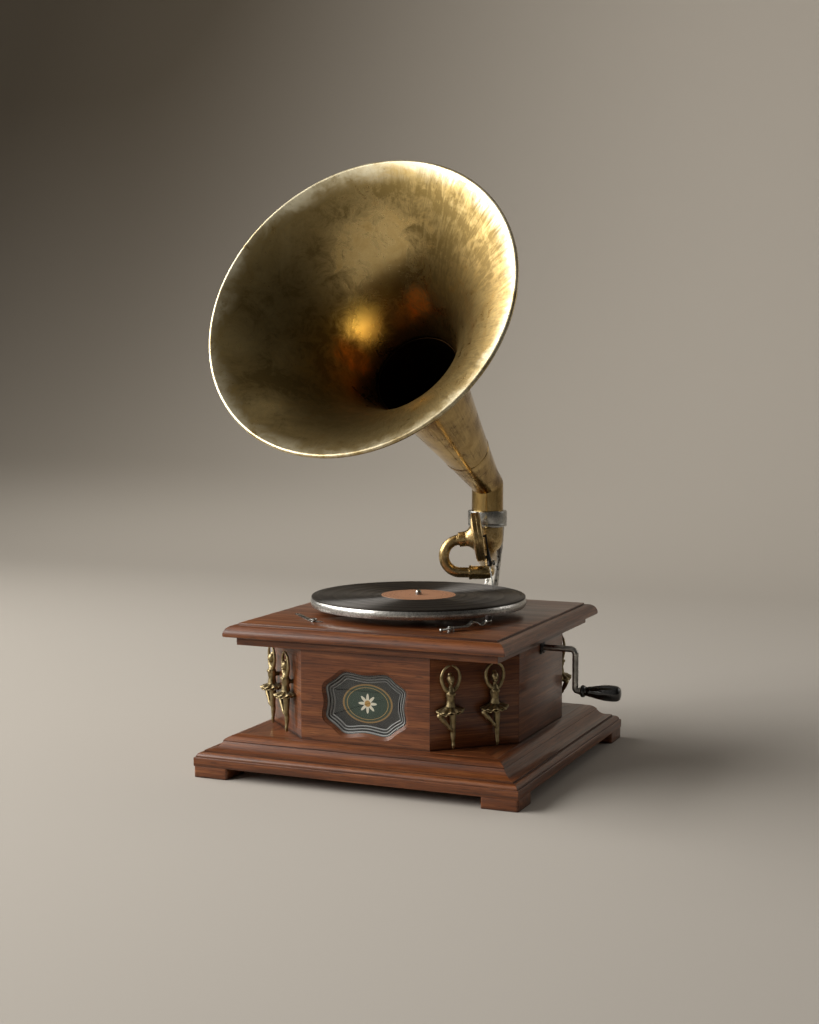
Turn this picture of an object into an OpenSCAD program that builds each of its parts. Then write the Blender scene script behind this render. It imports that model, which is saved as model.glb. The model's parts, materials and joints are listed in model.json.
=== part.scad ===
// Horn gramophone: wooden case, spring motor, turntable, tone arm and brass horn, in millimetres.
// The origin is the middle of the plinth on the floor, +Z is up, the front is -Y and the
// winding handle is on +X.

/* [Case] */
// Width of the square plinth
plinth_w = 384; // [378:1:400]
// Height of the feet
foot_h = 12.5; // [8:0.5:20]
// Side of a square foot
foot_w = 42; // [30:1:60]
// Height of the plinth moulding
plinth_h = 32.5; // [28:0.5:40]
// Width of a plinth rail in plan
plinth_rail_w = 86; // [82:1:92]
// Height of the upright face of the plinth
fascia_h = 10; // [7:0.5:12]
// Radius of the bead above that face
bead_r = 5; // [3:0.5:6]
// Width of the small steps between mouldings
moulding_step = 2; // [1:0.25:3]
// Depth of the hollow in the plinth cove
cove_dip = 2.5; // [1:0.25:3.5]
// Ledge of the plinth in front of the box
plinth_ledge = 3.3; // [2:0.1:6]
// Thickness of the bottom board
bottom_t = 12; // [6:0.5:16]
// Width of the box across its flats
box_w = 304; // [298:1:310]
// Length that each canted corner takes off a side
corner_cut = 75; // [70:1:80]
// Height of the box panels
panel_h = 101; // [96:1:115]
// Thickness of the box panels
panel_t = 11; // [10:0.5:13]
// Width of the square frieze
frieze_w = 311.6; // [308:0.2:320]
// Height of the frieze
frieze_h = 9.7; // [7:0.1:14]
// Width of a frieze rail in plan
frieze_rail_w = 51; // [48:1:53]
// Width of the top board
top_w = 335.4; // [328:0.2:344]
// Thickness of the top board
top_t = 15.1; // [13.5:0.1:18]
// Radius of the bullnose round the top board
bullnose_r = 8; // [6.5:0.25:8.5]
// Height of the widest line of the bullnose
bullnose_rise = 5; // [3:0.25:5]
// Set-back of the raised field on the top board
field_inset = 5.2; // [3:0.1:8]

/* [Window] */
// Width of the window opening
window_w = 98; // [90:1:106]
// Height of the window opening
window_h = 70; // [64:1:76]
// Width of its cut corners
window_cut_w = 23; // [18:1:28]
// Height of its cut corners
window_cut_h = 17; // [13:1:20]
// Depth of the scallops on its four sides
scallop_dip = 4; // [2:0.25:5]
// Width of the rebate that holds the glass
rebate_w = 4; // [3:0.25:6]
// Depth of that rebate
rebate_d = 5; // [4.5:0.25:6]
// Thickness of the glass in the rebate
glass_t = 3; // [2.5:0.25:3.5]
// Height of each step of the glass bevel
glass_step_h = 1.6; // [1:0.1:2]
// Width of each step of the glass bevel
glass_step_w = 2.4; // [1.5:0.1:3]
// Thickness of the backing board
backing_t = 3; // [2:0.25:5]

/* [Figures] */
// Space between a dancer's foot and the plinth
dancer_foot_gap = 2; // [1:0.25:4]
// Space between a dancer's hands and the frieze
dancer_head_gap = 6; // [3:0.25:10]
// Distance of a dancer from the middle of its panel
dancer_offset = 26; // [23:0.5:29]

/* [Turntable] */
// Radius of the platter
platter_r = 126; // [122:0.5:128]
// Height of the platter
platter_h = 9.7; // [8:0.1:12]
// Gap between the top board and the platter
platter_gap = 9.2; // [8.5:0.1:12]
// Thickness of the platter web
platter_web = 3.5; // [2.5:0.25:4]
// Width of the platter rim
platter_rim = 5; // [4:0.25:7]
// Thickness of the felt mat
mat_t = 1; // [0.6:0.1:1.5]
// Radius of the record
record_r = 125; // [120:0.5:126]
// Thickness of the record
record_t = 2; // [1.6:0.1:2.4]
// Radius of the record label
label_r = 43.5; // [38:0.5:48]
// Radius of the spindle above the platter
spindle_tip_r = 3.6; // [3:0.1:4]
// Height of the spindle above the record
spindle_tip_h = 6.3; // [5:0.1:9]

/* [Horn] */
// Radius of the horn's mouth over its rolled rim
mouth_r = 184; // [172:1:194]
// Radius of the rolled rim
rim_r = 4; // [3:0.25:5]
// Length of the bell along its axis
bell_l = 174; // [165:1:190]
// Radius of the throat where bell and neck meet
throat_r = 52.6; // [48:0.1:57]
// Angle at which the bell starts to flare
flare_start = 12; // [8:0.5:16]
// Upward tilt of the bell
bell_tilt = 27.5; // [24:0.5:32]
// Upward tilt of the neck
neck_tilt = 33.9; // [30:0.1:38]
// Distance along the neck axis from the mitre to the throat
neck_l = 248; // [236:1:262]
// Distance along the neck axis from the mitre to the ring joint
joint_l = 78; // [70:1:90]
// Radius of the neck at the ring joint
joint_r = 28.4; // [26:0.1:30]
// Radius of the upright horn tube
horn_tube_r = 20.3; // [19.5:0.1:21.5]
// Height of the mitre above the collar
mitre_h = 33.6; // [28:0.1:42]
// Turn of the horn to the left as it is shown
horn_turn = 2.7; // [0:0.1:20]
// Thickness of the horn's sheet brass
horn_wall = 1.2; // [1:0.1:1.6]

/* [Bracket] */
// Distance of the horn pivot behind the spindle
pivot_y = 230; // [224:1:240]
// Radius of the collar
collar_r = 25.2; // [24.5:0.1:28]
// Height of the collar
collar_h = 20.5; // [18:0.5:24]
// Width of the bracket's foot plate
foot_plate_w = 46; // [40:1:56]
// Height of the foot plate
foot_plate_h = 62; // [56:1:66]
// Thickness of the foot plate
foot_plate_t = 7; // [5:0.5:9]
// Thickness of the ledge that carries the tone arm
ledge_t = 5.5; // [4:0.25:7]

/* [Tone arm] */
// Height of the arm's axis over the record
arm_h = 20.3; // [19.5:0.1:24]
// Height of the collar over the arm's axis
collar_over_arm = 40.5; // [39:0.5:44]
// Radius of the upright root of the arm
root_r = 12; // [11:0.25:12.5]
// Radius of the arm where its slim part begins
arm_mid_r = 9.4; // [8.6:0.1:9.6]
// Radius of the arm at its end
arm_end_r = 7.9; // [7.4:0.05:8.2]
// Distance from the pivot to the gooseneck's axis
arm_l = 165; // [160:0.5:170]
// Turn of the arm from straight ahead as it is shown
arm_turn = 20.8; // [15:0.1:28]
// Wall of the arm's tube
arm_wall = 1; // [0.8:0.05:1.05]
// Radius of the gooseneck tube
goose_r = 6.2; // [5.6:0.05:6.2]
// Bend radius of the gooseneck
goose_bend = 19.7; // [18:0.1:21]
// Distance of the bend's middle from the arm
goose_reach = 33.2; // [31:0.1:36]

/* [Soundbox] */
// Radius of the soundbox
box_r = 29.5; // [27:0.25:31]
// Thickness of the soundbox
soundbox_t = 11; // [9:0.25:12]
// Lean of the soundbox to the left
soundbox_tilt = 8.5; // [5:0.5:12]
// Turn of the soundbox that brings the needle forward
needle_lean = 16; // [14:0.5:20]
// Gap between needle and record
needle_gap = 0.3; // [0.3:0.05:0.8]
// Radius of the diaphragm
diaphragm_r = 25.8; // [23:0.1:26]
// Radius of the needle
needle_r = 0.8; // [0.6:0.05:1]

/* [Winding handle] */
// Distance of the winding shaft below the frieze
shaft_drop = 6.3; // [6.2:0.1:10]
// Radius of the handle's rod
rod_r = 3.5; // [3:0.1:3.5]
// Distance of the cranked leg from the middle of the case
crank_x = 192; // [186:0.5:206]
// Throw of the crank
crank_throw = 47; // [40:0.5:60]
// Bend radius of the rod
rod_bend = 6; // [5:0.5:9]
// Length of the grip
grip_l = 43; // [40:0.5:60]
// Largest radius of the grip
grip_r = 8.5; // [8:0.25:11]

/* [Controls] */
// Place of the brake lever's pivot, to the right
brake_x = 88; // [84:0.5:94]
// Place of the brake lever's pivot, to the front
brake_y = 119; // [116:0.5:124]
// Length of the brake blade
brake_l = 49.6; // [46:0.2:54]
// Direction of the brake blade
brake_dir = 55.7; // [52:0.1:58]
// Radius of the brake pad
brake_pad_r = 3.2; // [2.5:0.1:3.8]
// Place of the speed knob, to the left
speed_x = 80; // [76:0.5:84]
// Place of the speed knob, to the front
speed_y = 114; // [112:0.5:120]
// Radius of the speed knob
speed_knob_r = 4.6; // [4:0.1:6]

/* [Motor] */
// Thickness of the motor plates
plate_t = 4; // [3:0.25:5]
// Thickness of the rubber washers over the bed plate
washer_t = 4; // [3:0.25:6]
// Length of the pillars between the plates
pillar_l = 60; // [58:0.5:66]
// Distance of the spring barrel from the spindle
barrel_x = 62; // [60:0.25:64]
// Radius of the spring barrel
barrel_r = 40; // [36:0.5:41]
// Height of the spring barrel
barrel_h = 32; // [28:0.5:33]
// Turns of the mainspring
spring_turns = 9; // [6:1:11]
// Thickness of the mainspring
spring_t = 0.9; // [0.6:0.05:1.1]
// Tooth module of the barrel wheel
barrel_module = 1.25; // [1.2:0.05:1.25]
// Tooth module of the intermediate wheel
wheel_module = 1; // [0.95:0.05:1]
// Tooth module of the winding gears
winding_module = 1.5; // [1.4:0.05:1.5]
// Tooth module of the governor wheel
governor_module = 0.8; // [0.75:0.05:0.85]
// Radius of the governor's friction disc
disc_r = 12; // [10:0.25:13]
// Radius of a governor weight
weight_r = 3.8; // [3:0.1:4]

/* [Hidden] */
$fn = 96;
over = 1;
fit = 0.05;
run_gap = 0.3;
small_gap = 0.1;

// Colours
walnut = "#6b3a24";
dark_walnut = "#4f2a1b";
aged_brass = "#a08045";
bright_brass = "#b8954f";
nickel = "#b9b7b0";
cast_silver = "#96948e";
steel = "#8f9194";
black = "#1c1a1a";

// Heights of the case, from the floor up
box_z = foot_h + plinth_h;
frieze_z = box_z + panel_h;
top_z = frieze_z + frieze_h;
deck_z = top_z + top_t;
platter_z = deck_z + platter_gap;
record_z = platter_z + platter_h;
record_top = record_z + record_t;
arm_z = record_top + arm_h;
collar_z = arm_z + collar_over_arm;
mitre_z = collar_z + collar_h + mitre_h;
shaft_z = frieze_z - shaft_drop;

// Plan of the box
plinth_half = plinth_w / 2;
plinth_inner = plinth_half - plinth_rail_w;
box_half = box_w / 2;
inner_half = box_half - panel_t;
flat_half = box_half - corner_cut;
inner_flat = box_half + flat_half - panel_t * sqrt(2) - inner_half;
frieze_half = frieze_w / 2;
frieze_inner = frieze_half - frieze_rail_w;
top_half = top_w / 2;
corner_middle = (box_half + flat_half) / 2;

// Motor heights, hung from the top board
plate_top = top_z - washer_t;
plate_z = plate_top - plate_t;
lower_top = plate_z - pillar_l;
lower_z = lower_top - plate_t;

// Gear counts and places
barrel_teeth = 72;
intermediate_pinion_teeth = 12;
intermediate_teeth = 60;
spindle_teeth = 15;
winding_pinion_teeth = 12;
winding_teeth = 24;
governor_teeth = 40;
worm_starts = 4;
tooth_thin = 0.14;
mesh_barrel = (barrel_teeth + intermediate_pinion_teeth) * barrel_module / 2;
mesh_spindle = (intermediate_teeth + spindle_teeth) * wheel_module / 2;
inter_x = (mesh_spindle ^ 2 - mesh_barrel ^ 2 + barrel_x ^ 2) / (2 * barrel_x);
inter_y = sqrt(mesh_spindle ^ 2 - inter_x ^ 2);
winding_r = winding_teeth * winding_module / 2;
pinion_r = winding_pinion_teeth * winding_module / 2;
winding_cone = atan(winding_r / pinion_r);
wheel_back = shaft_z - pinion_r - 3;
barrel_z = wheel_back - 2 - barrel_h;
great_z = wheel_back - 9;
great_t = 5;
inter_wheel_z = wheel_back + 8;
governor_wheel_r = governor_teeth * governor_module / 2;
worm_r = 5;
governor_y = governor_wheel_r + worm_r;
governor_z = lower_top + 16.3;
arbor_r = 5;
spindle_r = 5;
inter_shaft_r = 3;
pillar_r = 4;
pillar_left = -78;
pillar_left_y = 48;
pillar_right = 66;
pillar_right_y = 52;
plate_left = -86;
plate_right = 100;
lower_right = 82;
plate_half_y = 58;
lug_x = 91;
lug_t = 7;
governor_shaft_r = 2;
disc_x = -66;
disc_t = 3;

function polar(r, a) = [r * cos(a), r * sin(a)];
function arc_radius(chord, dip) = chord ^ 2 / (8 * dip) + dip / 2;
function unit(v) = v / norm(v);
function bezier(p, t) = (1 - t) ^ 3 * p[0] + 3 * (1 - t) ^ 2 * t * p[1]
  + 3 * (1 - t) * t ^ 2 * p[2] + t ^ 3 * p[3];
function curve(p, steps) = [for (i = [0:steps]) bezier(p, i / steps)];

// Spur gear outline with involute flanks, thinned a little for backlash
pressure = 20;
function involute(a) = tan(a) * 180 / PI - a;
function tooth_half(r, n, m) = let (base = n * m / 2 * cos(pressure))
  90 / n * (1 - tooth_thin) + involute(pressure) - (r > base ? involute(acos(base / r)) : 0);
function gear_points(n, m) = let (
    pitch = n * m / 2,
    radii = [pitch - 1.2 * m, pitch - 0.2 * m, pitch + 0.45 * m, pitch + 0.9 * m])
  [for (i = [0:n - 1]) each concat(
    [for (r = radii) polar(r, 360 * i / n - tooth_half(r, n, m))],
    [for (k = [3:-1:0]) polar(radii[k], 360 * i / n + tooth_half(radii[k], n, m))])];

// Bevel gear outline at its large end, with heights set square to the pitch cone
bevel_thin = 0.22;
function bevel_radius(h, n, m, cone) = n * m / 2 + h / cos(cone);
function bevel_half(h, n, m, cone) = let (
    r = bevel_radius(h, n, m, cone),
    apex = n * m / 2 / tan(cone),
    stretch = norm([r, apex]) / norm([n * m / 2, apex]))
  (PI * m / 4 * (1 - bevel_thin) - h * tan(pressure)) * stretch / r * 180 / PI;
function bevel_points(n, m, cone) = let (heights = [-1.2 * m, 0, 0.9 * m])
  [for (i = [0:n - 1]) each concat(
    [for (h = heights) polar(bevel_radius(h, n, m, cone), 360 * i / n - bevel_half(h, n, m, cone))],
    [for (k = [2:-1:0]) polar(bevel_radius(heights[k], n, m, cone),
      360 * i / n + bevel_half(heights[k], n, m, cone))])];

module mitred_plan(outer, inner) {
  polygon([[-outer, -outer], [outer, -outer], [inner, -inner], [-inner, -inner]]);
}

module four_sides() {
  for (a = [0, 90, 180, 270])
    rotate([0, 0, a]) children();
}

module rod_x(r, x0, x1) {
  translate([x0, 0, 0]) rotate([0, 90, 0]) cylinder(r = r, h = x1 - x0);
}

module ring_tube(outer, inner, l) {
  difference() {
    cylinder(r = outer, h = l);
    translate([0, 0, -over]) cylinder(r = inner, h = l + 2 * over);
  }
}

module bend(radius, r, angle) {
  rotate_extrude(angle = angle) translate([radius, 0]) circle(r);
}

// Case

foot_inset = 0.2;
foot_corner_r = 3;
module foot_plan() {
  side = foot_w - 2 * foot_corner_r;
  for (x = [-1, 1], y = [-1, 1])
    translate([x * side / 2, y * side / 2]) circle(foot_corner_r, $fn = 48);
  square([foot_w, side], center = true);
  square([side, foot_w], center = true);
}

module bracket_feet() color(walnut) {
  place = plinth_half - foot_inset - foot_w / 2;
  for (x = [-1, 1], y = [-1, 1])
    translate([x * place, y * place, 0]) linear_extrude(foot_h) foot_plan();
}

module plinth_profile() {
  bead_x = plinth_half - moulding_step - bead_r;
  cove_low = [bead_x - moulding_step, fascia_h + bead_r + moulding_step];
  cove_high = [box_half + plinth_ledge, plinth_h];
  chord = cove_high - cove_low;
  cove_r = arc_radius(norm(chord), cove_dip);
  away = unit([chord.y, -chord.x]);
  difference() {
    union() {
      polygon([[plinth_inner, 0], [plinth_half, 0], [plinth_half, fascia_h], [bead_x, fascia_h],
        [bead_x, fascia_h + bead_r], [cove_low.x, fascia_h + bead_r], cove_low, cove_high,
        [plinth_inner, plinth_h]]);
      translate([bead_x, fascia_h]) circle(bead_r);
    }
    translate((cove_low + cove_high) / 2 + away * (cove_r - cove_dip)) circle(cove_r, $fn = 360);
  }
}

module plinth_rails() color(walnut) {
  four_sides() intersection() {
    translate([0, 0, foot_h]) rotate([90, 0, -90])
      linear_extrude(plinth_w + 2 * over, center = true) plinth_profile();
    translate([0, 0, foot_h - over]) linear_extrude(plinth_h + 2 * over)
      mitred_plan(plinth_half + over, plinth_inner - over);
  }
}

module bottom_board() color(dark_walnut) {
  translate([-plinth_inner, -plinth_inner, box_z - bottom_t])
    cube([2 * plinth_inner, 2 * plinth_inner, bottom_t]);
}

module panel() {
  translate([0, 0, box_z]) linear_extrude(panel_h)
    polygon([[-flat_half, -box_half], [flat_half, -box_half], [inner_flat, -inner_half],
      [-inner_flat, -inner_half]]);
}

module corner_panel() {
  translate([0, 0, box_z]) linear_extrude(panel_h)
    polygon([[flat_half, -box_half], [box_half, -flat_half], [inner_half, -inner_flat],
      [inner_flat, -inner_half]]);
}

window_drop = 6.2;
window_z = box_z + panel_h / 2 - window_drop;
module window_outline(grow) {
  w = window_w / 2 + grow;
  h = window_h / 2 + grow;
  top_flat = window_w / 2 - window_cut_w;
  side_flat = window_h / 2 - window_cut_h;
  top_r = arc_radius(2 * top_flat, scallop_dip);
  side_r = arc_radius(2 * side_flat, scallop_dip);
  difference() {
    polygon([[w - window_cut_w, h], [w, h - window_cut_h], [w, window_cut_h - h],
      [w - window_cut_w, -h], [window_cut_w - w, -h], [-w, window_cut_h - h],
      [-w, h - window_cut_h], [window_cut_w - w, h]]);
    for (s = [-1, 1]) {
      translate([0, s * (window_h / 2 + top_r - scallop_dip)]) circle(top_r - grow, $fn = 180);
      translate([s * (window_w / 2 + side_r - scallop_dip), 0]) circle(side_r - grow, $fn = 180);
    }
  }
}

// A slab in the front panel, from depth y0 to y1 behind the panel's outer face
module window_slab(grow, y0, y1) {
  translate([0, -box_half + y1, window_z]) rotate([90, 0, 0])
    linear_extrude(y1 - y0) window_outline(grow);
}

module front_panel() color(walnut) {
  difference() {
    panel();
    window_slab(0, -over, panel_t + over);
    window_slab(rebate_w, panel_t - rebate_d, panel_t + over);
  }
}

module window_glass() color("#7f8c88") {
  seat = panel_t - rebate_d;
  window_slab(rebate_w - small_gap, seat, seat + glass_t);
  window_slab(-small_gap, seat - glass_step_h, seat);
  window_slab(-glass_step_w, seat - 2 * glass_step_h, seat - glass_step_h);
}

module window_card() color("#2a2b29") {
  window_slab(rebate_w - small_gap, panel_t - rebate_d + glass_t, panel_t);
}

backing_margin = 8;
module window_backing() color(dark_walnut) {
  w = window_w + 2 * (rebate_w + backing_margin);
  h = window_h + 2 * (rebate_w + backing_margin / 2);
  translate([-w / 2, -inner_half, window_z - h / 2]) cube([w, backing_t, h]);
}

bracket_screw_x = foot_plate_w / 2 - 8;
bracket_screw_z = foot_plate_h / 2 - 9;
bracket_screw_r = 2.2;
bracket_screw_l = foot_plate_t + 8;
foot_plate_mid = frieze_z - 6 - foot_plate_h / 2;
module at_bracket_screws() {
  for (x = [-1, 1], z = [-1, 1])
    translate([x * bracket_screw_x, box_half + foot_plate_t, foot_plate_mid + z * bracket_screw_z])
      rotate([90, 0, 0]) children();
}

module back_panel() color(walnut) {
  difference() {
    rotate([0, 0, 180]) panel();
    at_bracket_screws() cylinder(r = bracket_screw_r, h = bracket_screw_l, $fn = 32);
  }
}

bush_r = 5.5;
module side_panels() color(walnut) {
  rotate([0, 0, -90]) panel();
  difference() {
    rotate([0, 0, 90]) panel();
    translate([0, 0, shaft_z]) rod_x(bush_r, inner_half - over, box_half + over);
  }
}

module corner_panels() color(walnut) {
  four_sides() corner_panel();
}

speed_shaft_r = 2.5;
module speed_shaft_hole(z0, z1) {
  translate([-speed_x, -speed_y, z0]) cylinder(r = speed_shaft_r + fit, h = z1 - z0, $fn = 48);
}

module frieze_rails() color(dark_walnut) {
  difference() {
    translate([0, 0, frieze_z]) four_sides() linear_extrude(frieze_h)
      mitred_plan(frieze_half, frieze_inner);
    speed_shaft_hole(frieze_z - over, top_z + over);
  }
}

module top_profile() {
  round_x = top_half - bullnose_r;
  for (s = [0, 1]) mirror([s, 0]) {
    square([round_x, bullnose_rise + bullnose_r]);
    square([round_x - field_inset, top_t]);
    intersection() {
      translate([round_x, bullnose_rise]) circle(bullnose_r);
      translate([round_x - over, 0]) square([bullnose_r + 2 * over, 2 * bullnose_r]);
    }
  }
}

bolt_r = 2.5;
bolt_places = [[-74, 0], [46, 48], [46, -48]];
spindle_hole_r = 10;
brake_pin_r = 2.5;
brake_pin_l = 9;
module top_board() color(walnut) {
  difference() {
    intersection_for (a = [0, 90])
      translate([0, 0, top_z]) rotate([90, 0, a])
        linear_extrude(top_w + 2 * over, center = true) top_profile();
    translate([0, 0, top_z - over]) cylinder(r = spindle_hole_r, h = top_t + 2 * over);
    for (p = bolt_places)
      translate([p.x, p.y, top_z - over]) cylinder(r = bolt_r + fit, h = top_t + 2 * over, $fn = 48);
    speed_shaft_hole(top_z - over, deck_z + over);
    translate([brake_x, -brake_y, deck_z - brake_pin_l - small_gap])
      cylinder(r = brake_pin_r + fit, h = brake_pin_l + over, $fn = 48);
  }
}

// Dancers: figures that stand on one toe with the arms raised in an oval, held to the panel by the
// back of the skirt and a stud. x runs across the panel, y stands out from it, z runs up the figure.

dancer_h = panel_h - dancer_foot_gap - dancer_head_gap;
module limb(a, ra, b, rb) {
  hull() {
    translate(a) sphere(ra, $fn = 8);
    translate(b) sphere(rb, $fn = 8);
  }
}

stand_out = 7.5;
skirt_lobes = 12;
module skirt() {
  wave = [for (i = [0:2 * skirt_lobes - 1]) polar(i % 2 == 0 ? 16 : 13.6, 180 * i / skirt_lobes)];
  translate([0, stand_out, 43.5]) scale([1, 0.78, 1]) linear_extrude(7.5, scale = 0.32) polygon(wave);
}

module dancer_form() {
  y = stand_out;
  limb([-2.4, y, 44], 3.3, [-2.8, y, 24], 2.5);
  limb([-2.8, y, 24], 2.5, [-3.2, y, 7.5], 1.7);
  limb([-3.2, y, 7.5], 1.7, [-3.4, y, 1.3], 1.3);
  limb([2.4, y, 44], 3.2, [14, y + 2, 37.5], 2.4);
  limb([14, y + 2, 37.5], 2.4, [1, y + 2.2, 23], 1.4);
  skirt();
  limb([0, y, 50], 3.6, [0, y, 62], 4.7);
  limb([0, y, 65], 2, [0, y, 71], 1.8);
  for (s = [-1, 1]) {
    limb([s * 4.6, y, 64.5], 2, [s * 11, y, 76], 1.7);
    limb([s * 11, y, 76], 1.7, [s * 8.4, y, 85], 1.5);
    limb([s * 8.4, y, 85], 1.5, [s * 1.6, y, 91.4], 1.4);
  }
  translate([0, y + 0.6, 75]) sphere(4.3, $fn = 14);
  translate([0, y - 1.4, 79.4]) sphere(2, $fn = 10);
  translate([0, 0, 59]) rotate([-90, 0, 0]) cylinder(r = 2.5, h = y, $fn = 12);
}

module dancer() {
  figure_h = 92.8;
  intersection() {
    scale(dancer_h / figure_h) dancer_form();
    translate([-30, 0, -over]) cube([60, 40, dancer_h + 2 * over]);
  }
}

// Two dancers on the canted panel that faces the direction a
dancer_shift = 6;
module dancer_pair(a) {
  rotate([0, 0, a]) for (x = [-1, 1])
    translate([x * dancer_offset + dancer_shift, sqrt(2) * corner_middle, box_z + dancer_foot_gap])
      dancer();
}

module dancers_front() color(aged_brass) {
  for (a = [135, 225]) dancer_pair(a);
}

module dancers_back() color(aged_brass) {
  for (a = [45, 315]) dancer_pair(a);
}

// Bracket

socket_rise = 4;
flange_r = 17;
flange_h = 3;
flange_seat_r = flange_r + 0.5;
neck_fit = 0.08;
module bracket_side() {
  arm_front = pivot_y + cup_r + 2;
  arm_rear = arm_front + 8.5;
  arm_top = collar_z + collar_h - 2;
  foot_y = box_half + foot_plate_t - over;
  rear = [[arm_rear, arm_top], [arm_rear + 11, collar_z - 62], [pivot_y + 8, foot_plate_mid - 9],
    [foot_y, foot_plate_mid - 18]];
  front = [[foot_y, foot_plate_mid + 18], [pivot_y - 22, foot_plate_mid + 18],
    [arm_front + 11, collar_z - 87], [arm_front, collar_z]];
  polygon(concat(curve(rear, 16), curve(front, 16), [[arm_front, arm_top]]));
}

module bracket_front() {
  waist = foot_plate_mid + 78;
  upper = [[13, collar_z + collar_h], [13, collar_z - 20], [6, collar_z - 30], [6, waist]];
  lower = [[6, waist], [6, waist - 40], [10, foot_plate_mid + 40], [15, foot_plate_mid - 20]];
  edge = concat(curve(upper, 10), [for (i = [1:10]) bezier(lower, i / 10)]);
  polygon(concat(edge, [for (i = [len(edge) - 1:-1:0]) [-edge[i].x, edge[i].y]]));
}

module horn_bracket() color(cast_silver) {
  difference() {
    union() {
      intersection() {
        rotate([90, 0, 90]) linear_extrude(40, center = true) bracket_side();
        translate([0, pivot_y + 60, 0]) rotate([90, 0, 0]) linear_extrude(160) bracket_front();
      }
      translate([0, pivot_y, collar_z]) cylinder(r = collar_r, h = collar_h);
      translate([-foot_plate_w / 2, box_half, foot_plate_mid - foot_plate_h / 2])
        cube([foot_plate_w, foot_plate_t, foot_plate_h]);
    }
    translate([0, pivot_y, collar_z - 20]) cylinder(r = root_r + neck_fit, h = collar_h + 40);
    translate([0, pivot_y, collar_z + ledge_t]) cylinder(r = flange_seat_r, h = collar_h);
    translate([0, pivot_y, collar_z + ledge_t + socket_rise])
      cylinder(r = horn_tube_r + neck_fit, h = collar_h);
    at_bracket_screws() translate([0, 0, -over])
      cylinder(r = bracket_screw_r, h = bracket_screw_l, $fn = 32);
  }
}

module bracket_screws() color(steel) {
  head_r = 4.2;
  dome_r = 6;
  dome_h = dome_r - sqrt(dome_r ^ 2 - head_r ^ 2);
  at_bracket_screws() {
    cylinder(r = bracket_screw_r, h = bracket_screw_l, $fn = 32);
    intersection() {
      translate([0, 0, dome_r - dome_h]) sphere(dome_r, $fn = 48);
      translate([0, 0, -dome_h]) cylinder(r = head_r, h = dome_h, $fn = 48);
    }
  }
}

// Horn, built on the neck's axis and on the bell's axis

module on_horn() {
  translate([0, pivot_y, mitre_z]) rotate([0, 0, -horn_turn]) children();
}

module on_neck() {
  on_horn() rotate([90 - neck_tilt, 0, 0]) children();
}

module on_bell() {
  on_horn() translate([0, -neck_l * cos(neck_tilt), neck_l * sin(neck_tilt)])
    rotate([90 - bell_tilt, 0, 0]) children();
}

mitre_half = (90 - neck_tilt) / 2;
mitre_run = 14;
module mitre_side(keep_up) {
  span = 400;
  on_horn() rotate([mitre_half, 0, 0]) translate([-span / 2, -span / 2, keep_up ? 0 : -span]) cube(span);
}

// The slanted tube is a little wider than the upright one at the soldered mitre
mitre_lap = 0.2;
module horn_elbow() color(aged_brass) {
  low = collar_z + ledge_t + socket_rise + small_gap;
  r = horn_tube_r + mitre_lap;
  intersection() {
    translate([0, pivot_y, low])
      ring_tube(horn_tube_r, horn_tube_r - horn_wall, mitre_z - low + 2 * mitre_run);
    mitre_side(false);
  }
  intersection() {
    on_neck() rotate_extrude() polygon([[r - horn_wall, -mitre_run], [r, -mitre_run], [r, mitre_run],
      [joint_r, joint_l], [joint_r - horn_wall, joint_l], [r - horn_wall, mitre_run]]);
    mitre_side(true);
  }
}

module horn_neck() color(aged_brass) {
  slope = (throat_r - joint_r) / (neck_l - joint_l);
  spare = 12;
  end_l = neck_l + spare;
  end_r = throat_r + slope * spare;
  difference() {
    on_neck() rotate_extrude() polygon([[joint_r - horn_wall, joint_l], [joint_r, joint_l],
      [end_r, end_l], [end_r - horn_wall, end_l]]);
    on_bell() cylinder(r = 2 * throat_r, h = 4 * spare);
  }
}

// The bell's wall is an arc that leaves the throat at flare_start and ends at the rim
throat_ring_h = 3;
throat_ring_w = 2.5;
module bell_profile() {
  rise = mouth_r - rim_r - throat_r;
  flare_end = 2 * atan(rise / bell_l) - flare_start;
  arc_r = bell_l / (sin(flare_end) - sin(flare_start));
  centre = [throat_r + arc_r * cos(flare_start), -arc_r * sin(flare_start)];
  difference() {
    translate(centre) circle(arc_r + horn_wall, $fn = 720);
    translate(centre) circle(arc_r, $fn = 720);
    translate([centre.x - 2 * arc_r, -4 * arc_r]) square([4 * arc_r, 4 * arc_r]);
    translate([centre.x - 2 * arc_r, bell_l]) square([4 * arc_r, 2 * arc_r]);
    translate([mouth_r, -over]) square([2 * arc_r, 2 * arc_r]);
  }
  translate([mouth_r - rim_r, bell_l]) circle(rim_r, $fn = 48);
  translate([throat_r - throat_ring_w, 0]) square([2 * throat_ring_w, throat_ring_h]);
}

module horn_bell() color(aged_brass) {
  on_bell() rotate_extrude($fn = 180) bell_profile();
}

// Tone arm, drawn pointing straight to the front and then turned

module on_arm() {
  translate([0, pivot_y, arm_z]) rotate([0, 0, arm_turn]) children();
}

root_bend = 13.5;
end_bend = 10;
slim_start = 50;
sleeve_l = 20;
bead_l = 3;
bead_over = 1.3;
cup_r = 20.4;
cup_l = 33;
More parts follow.
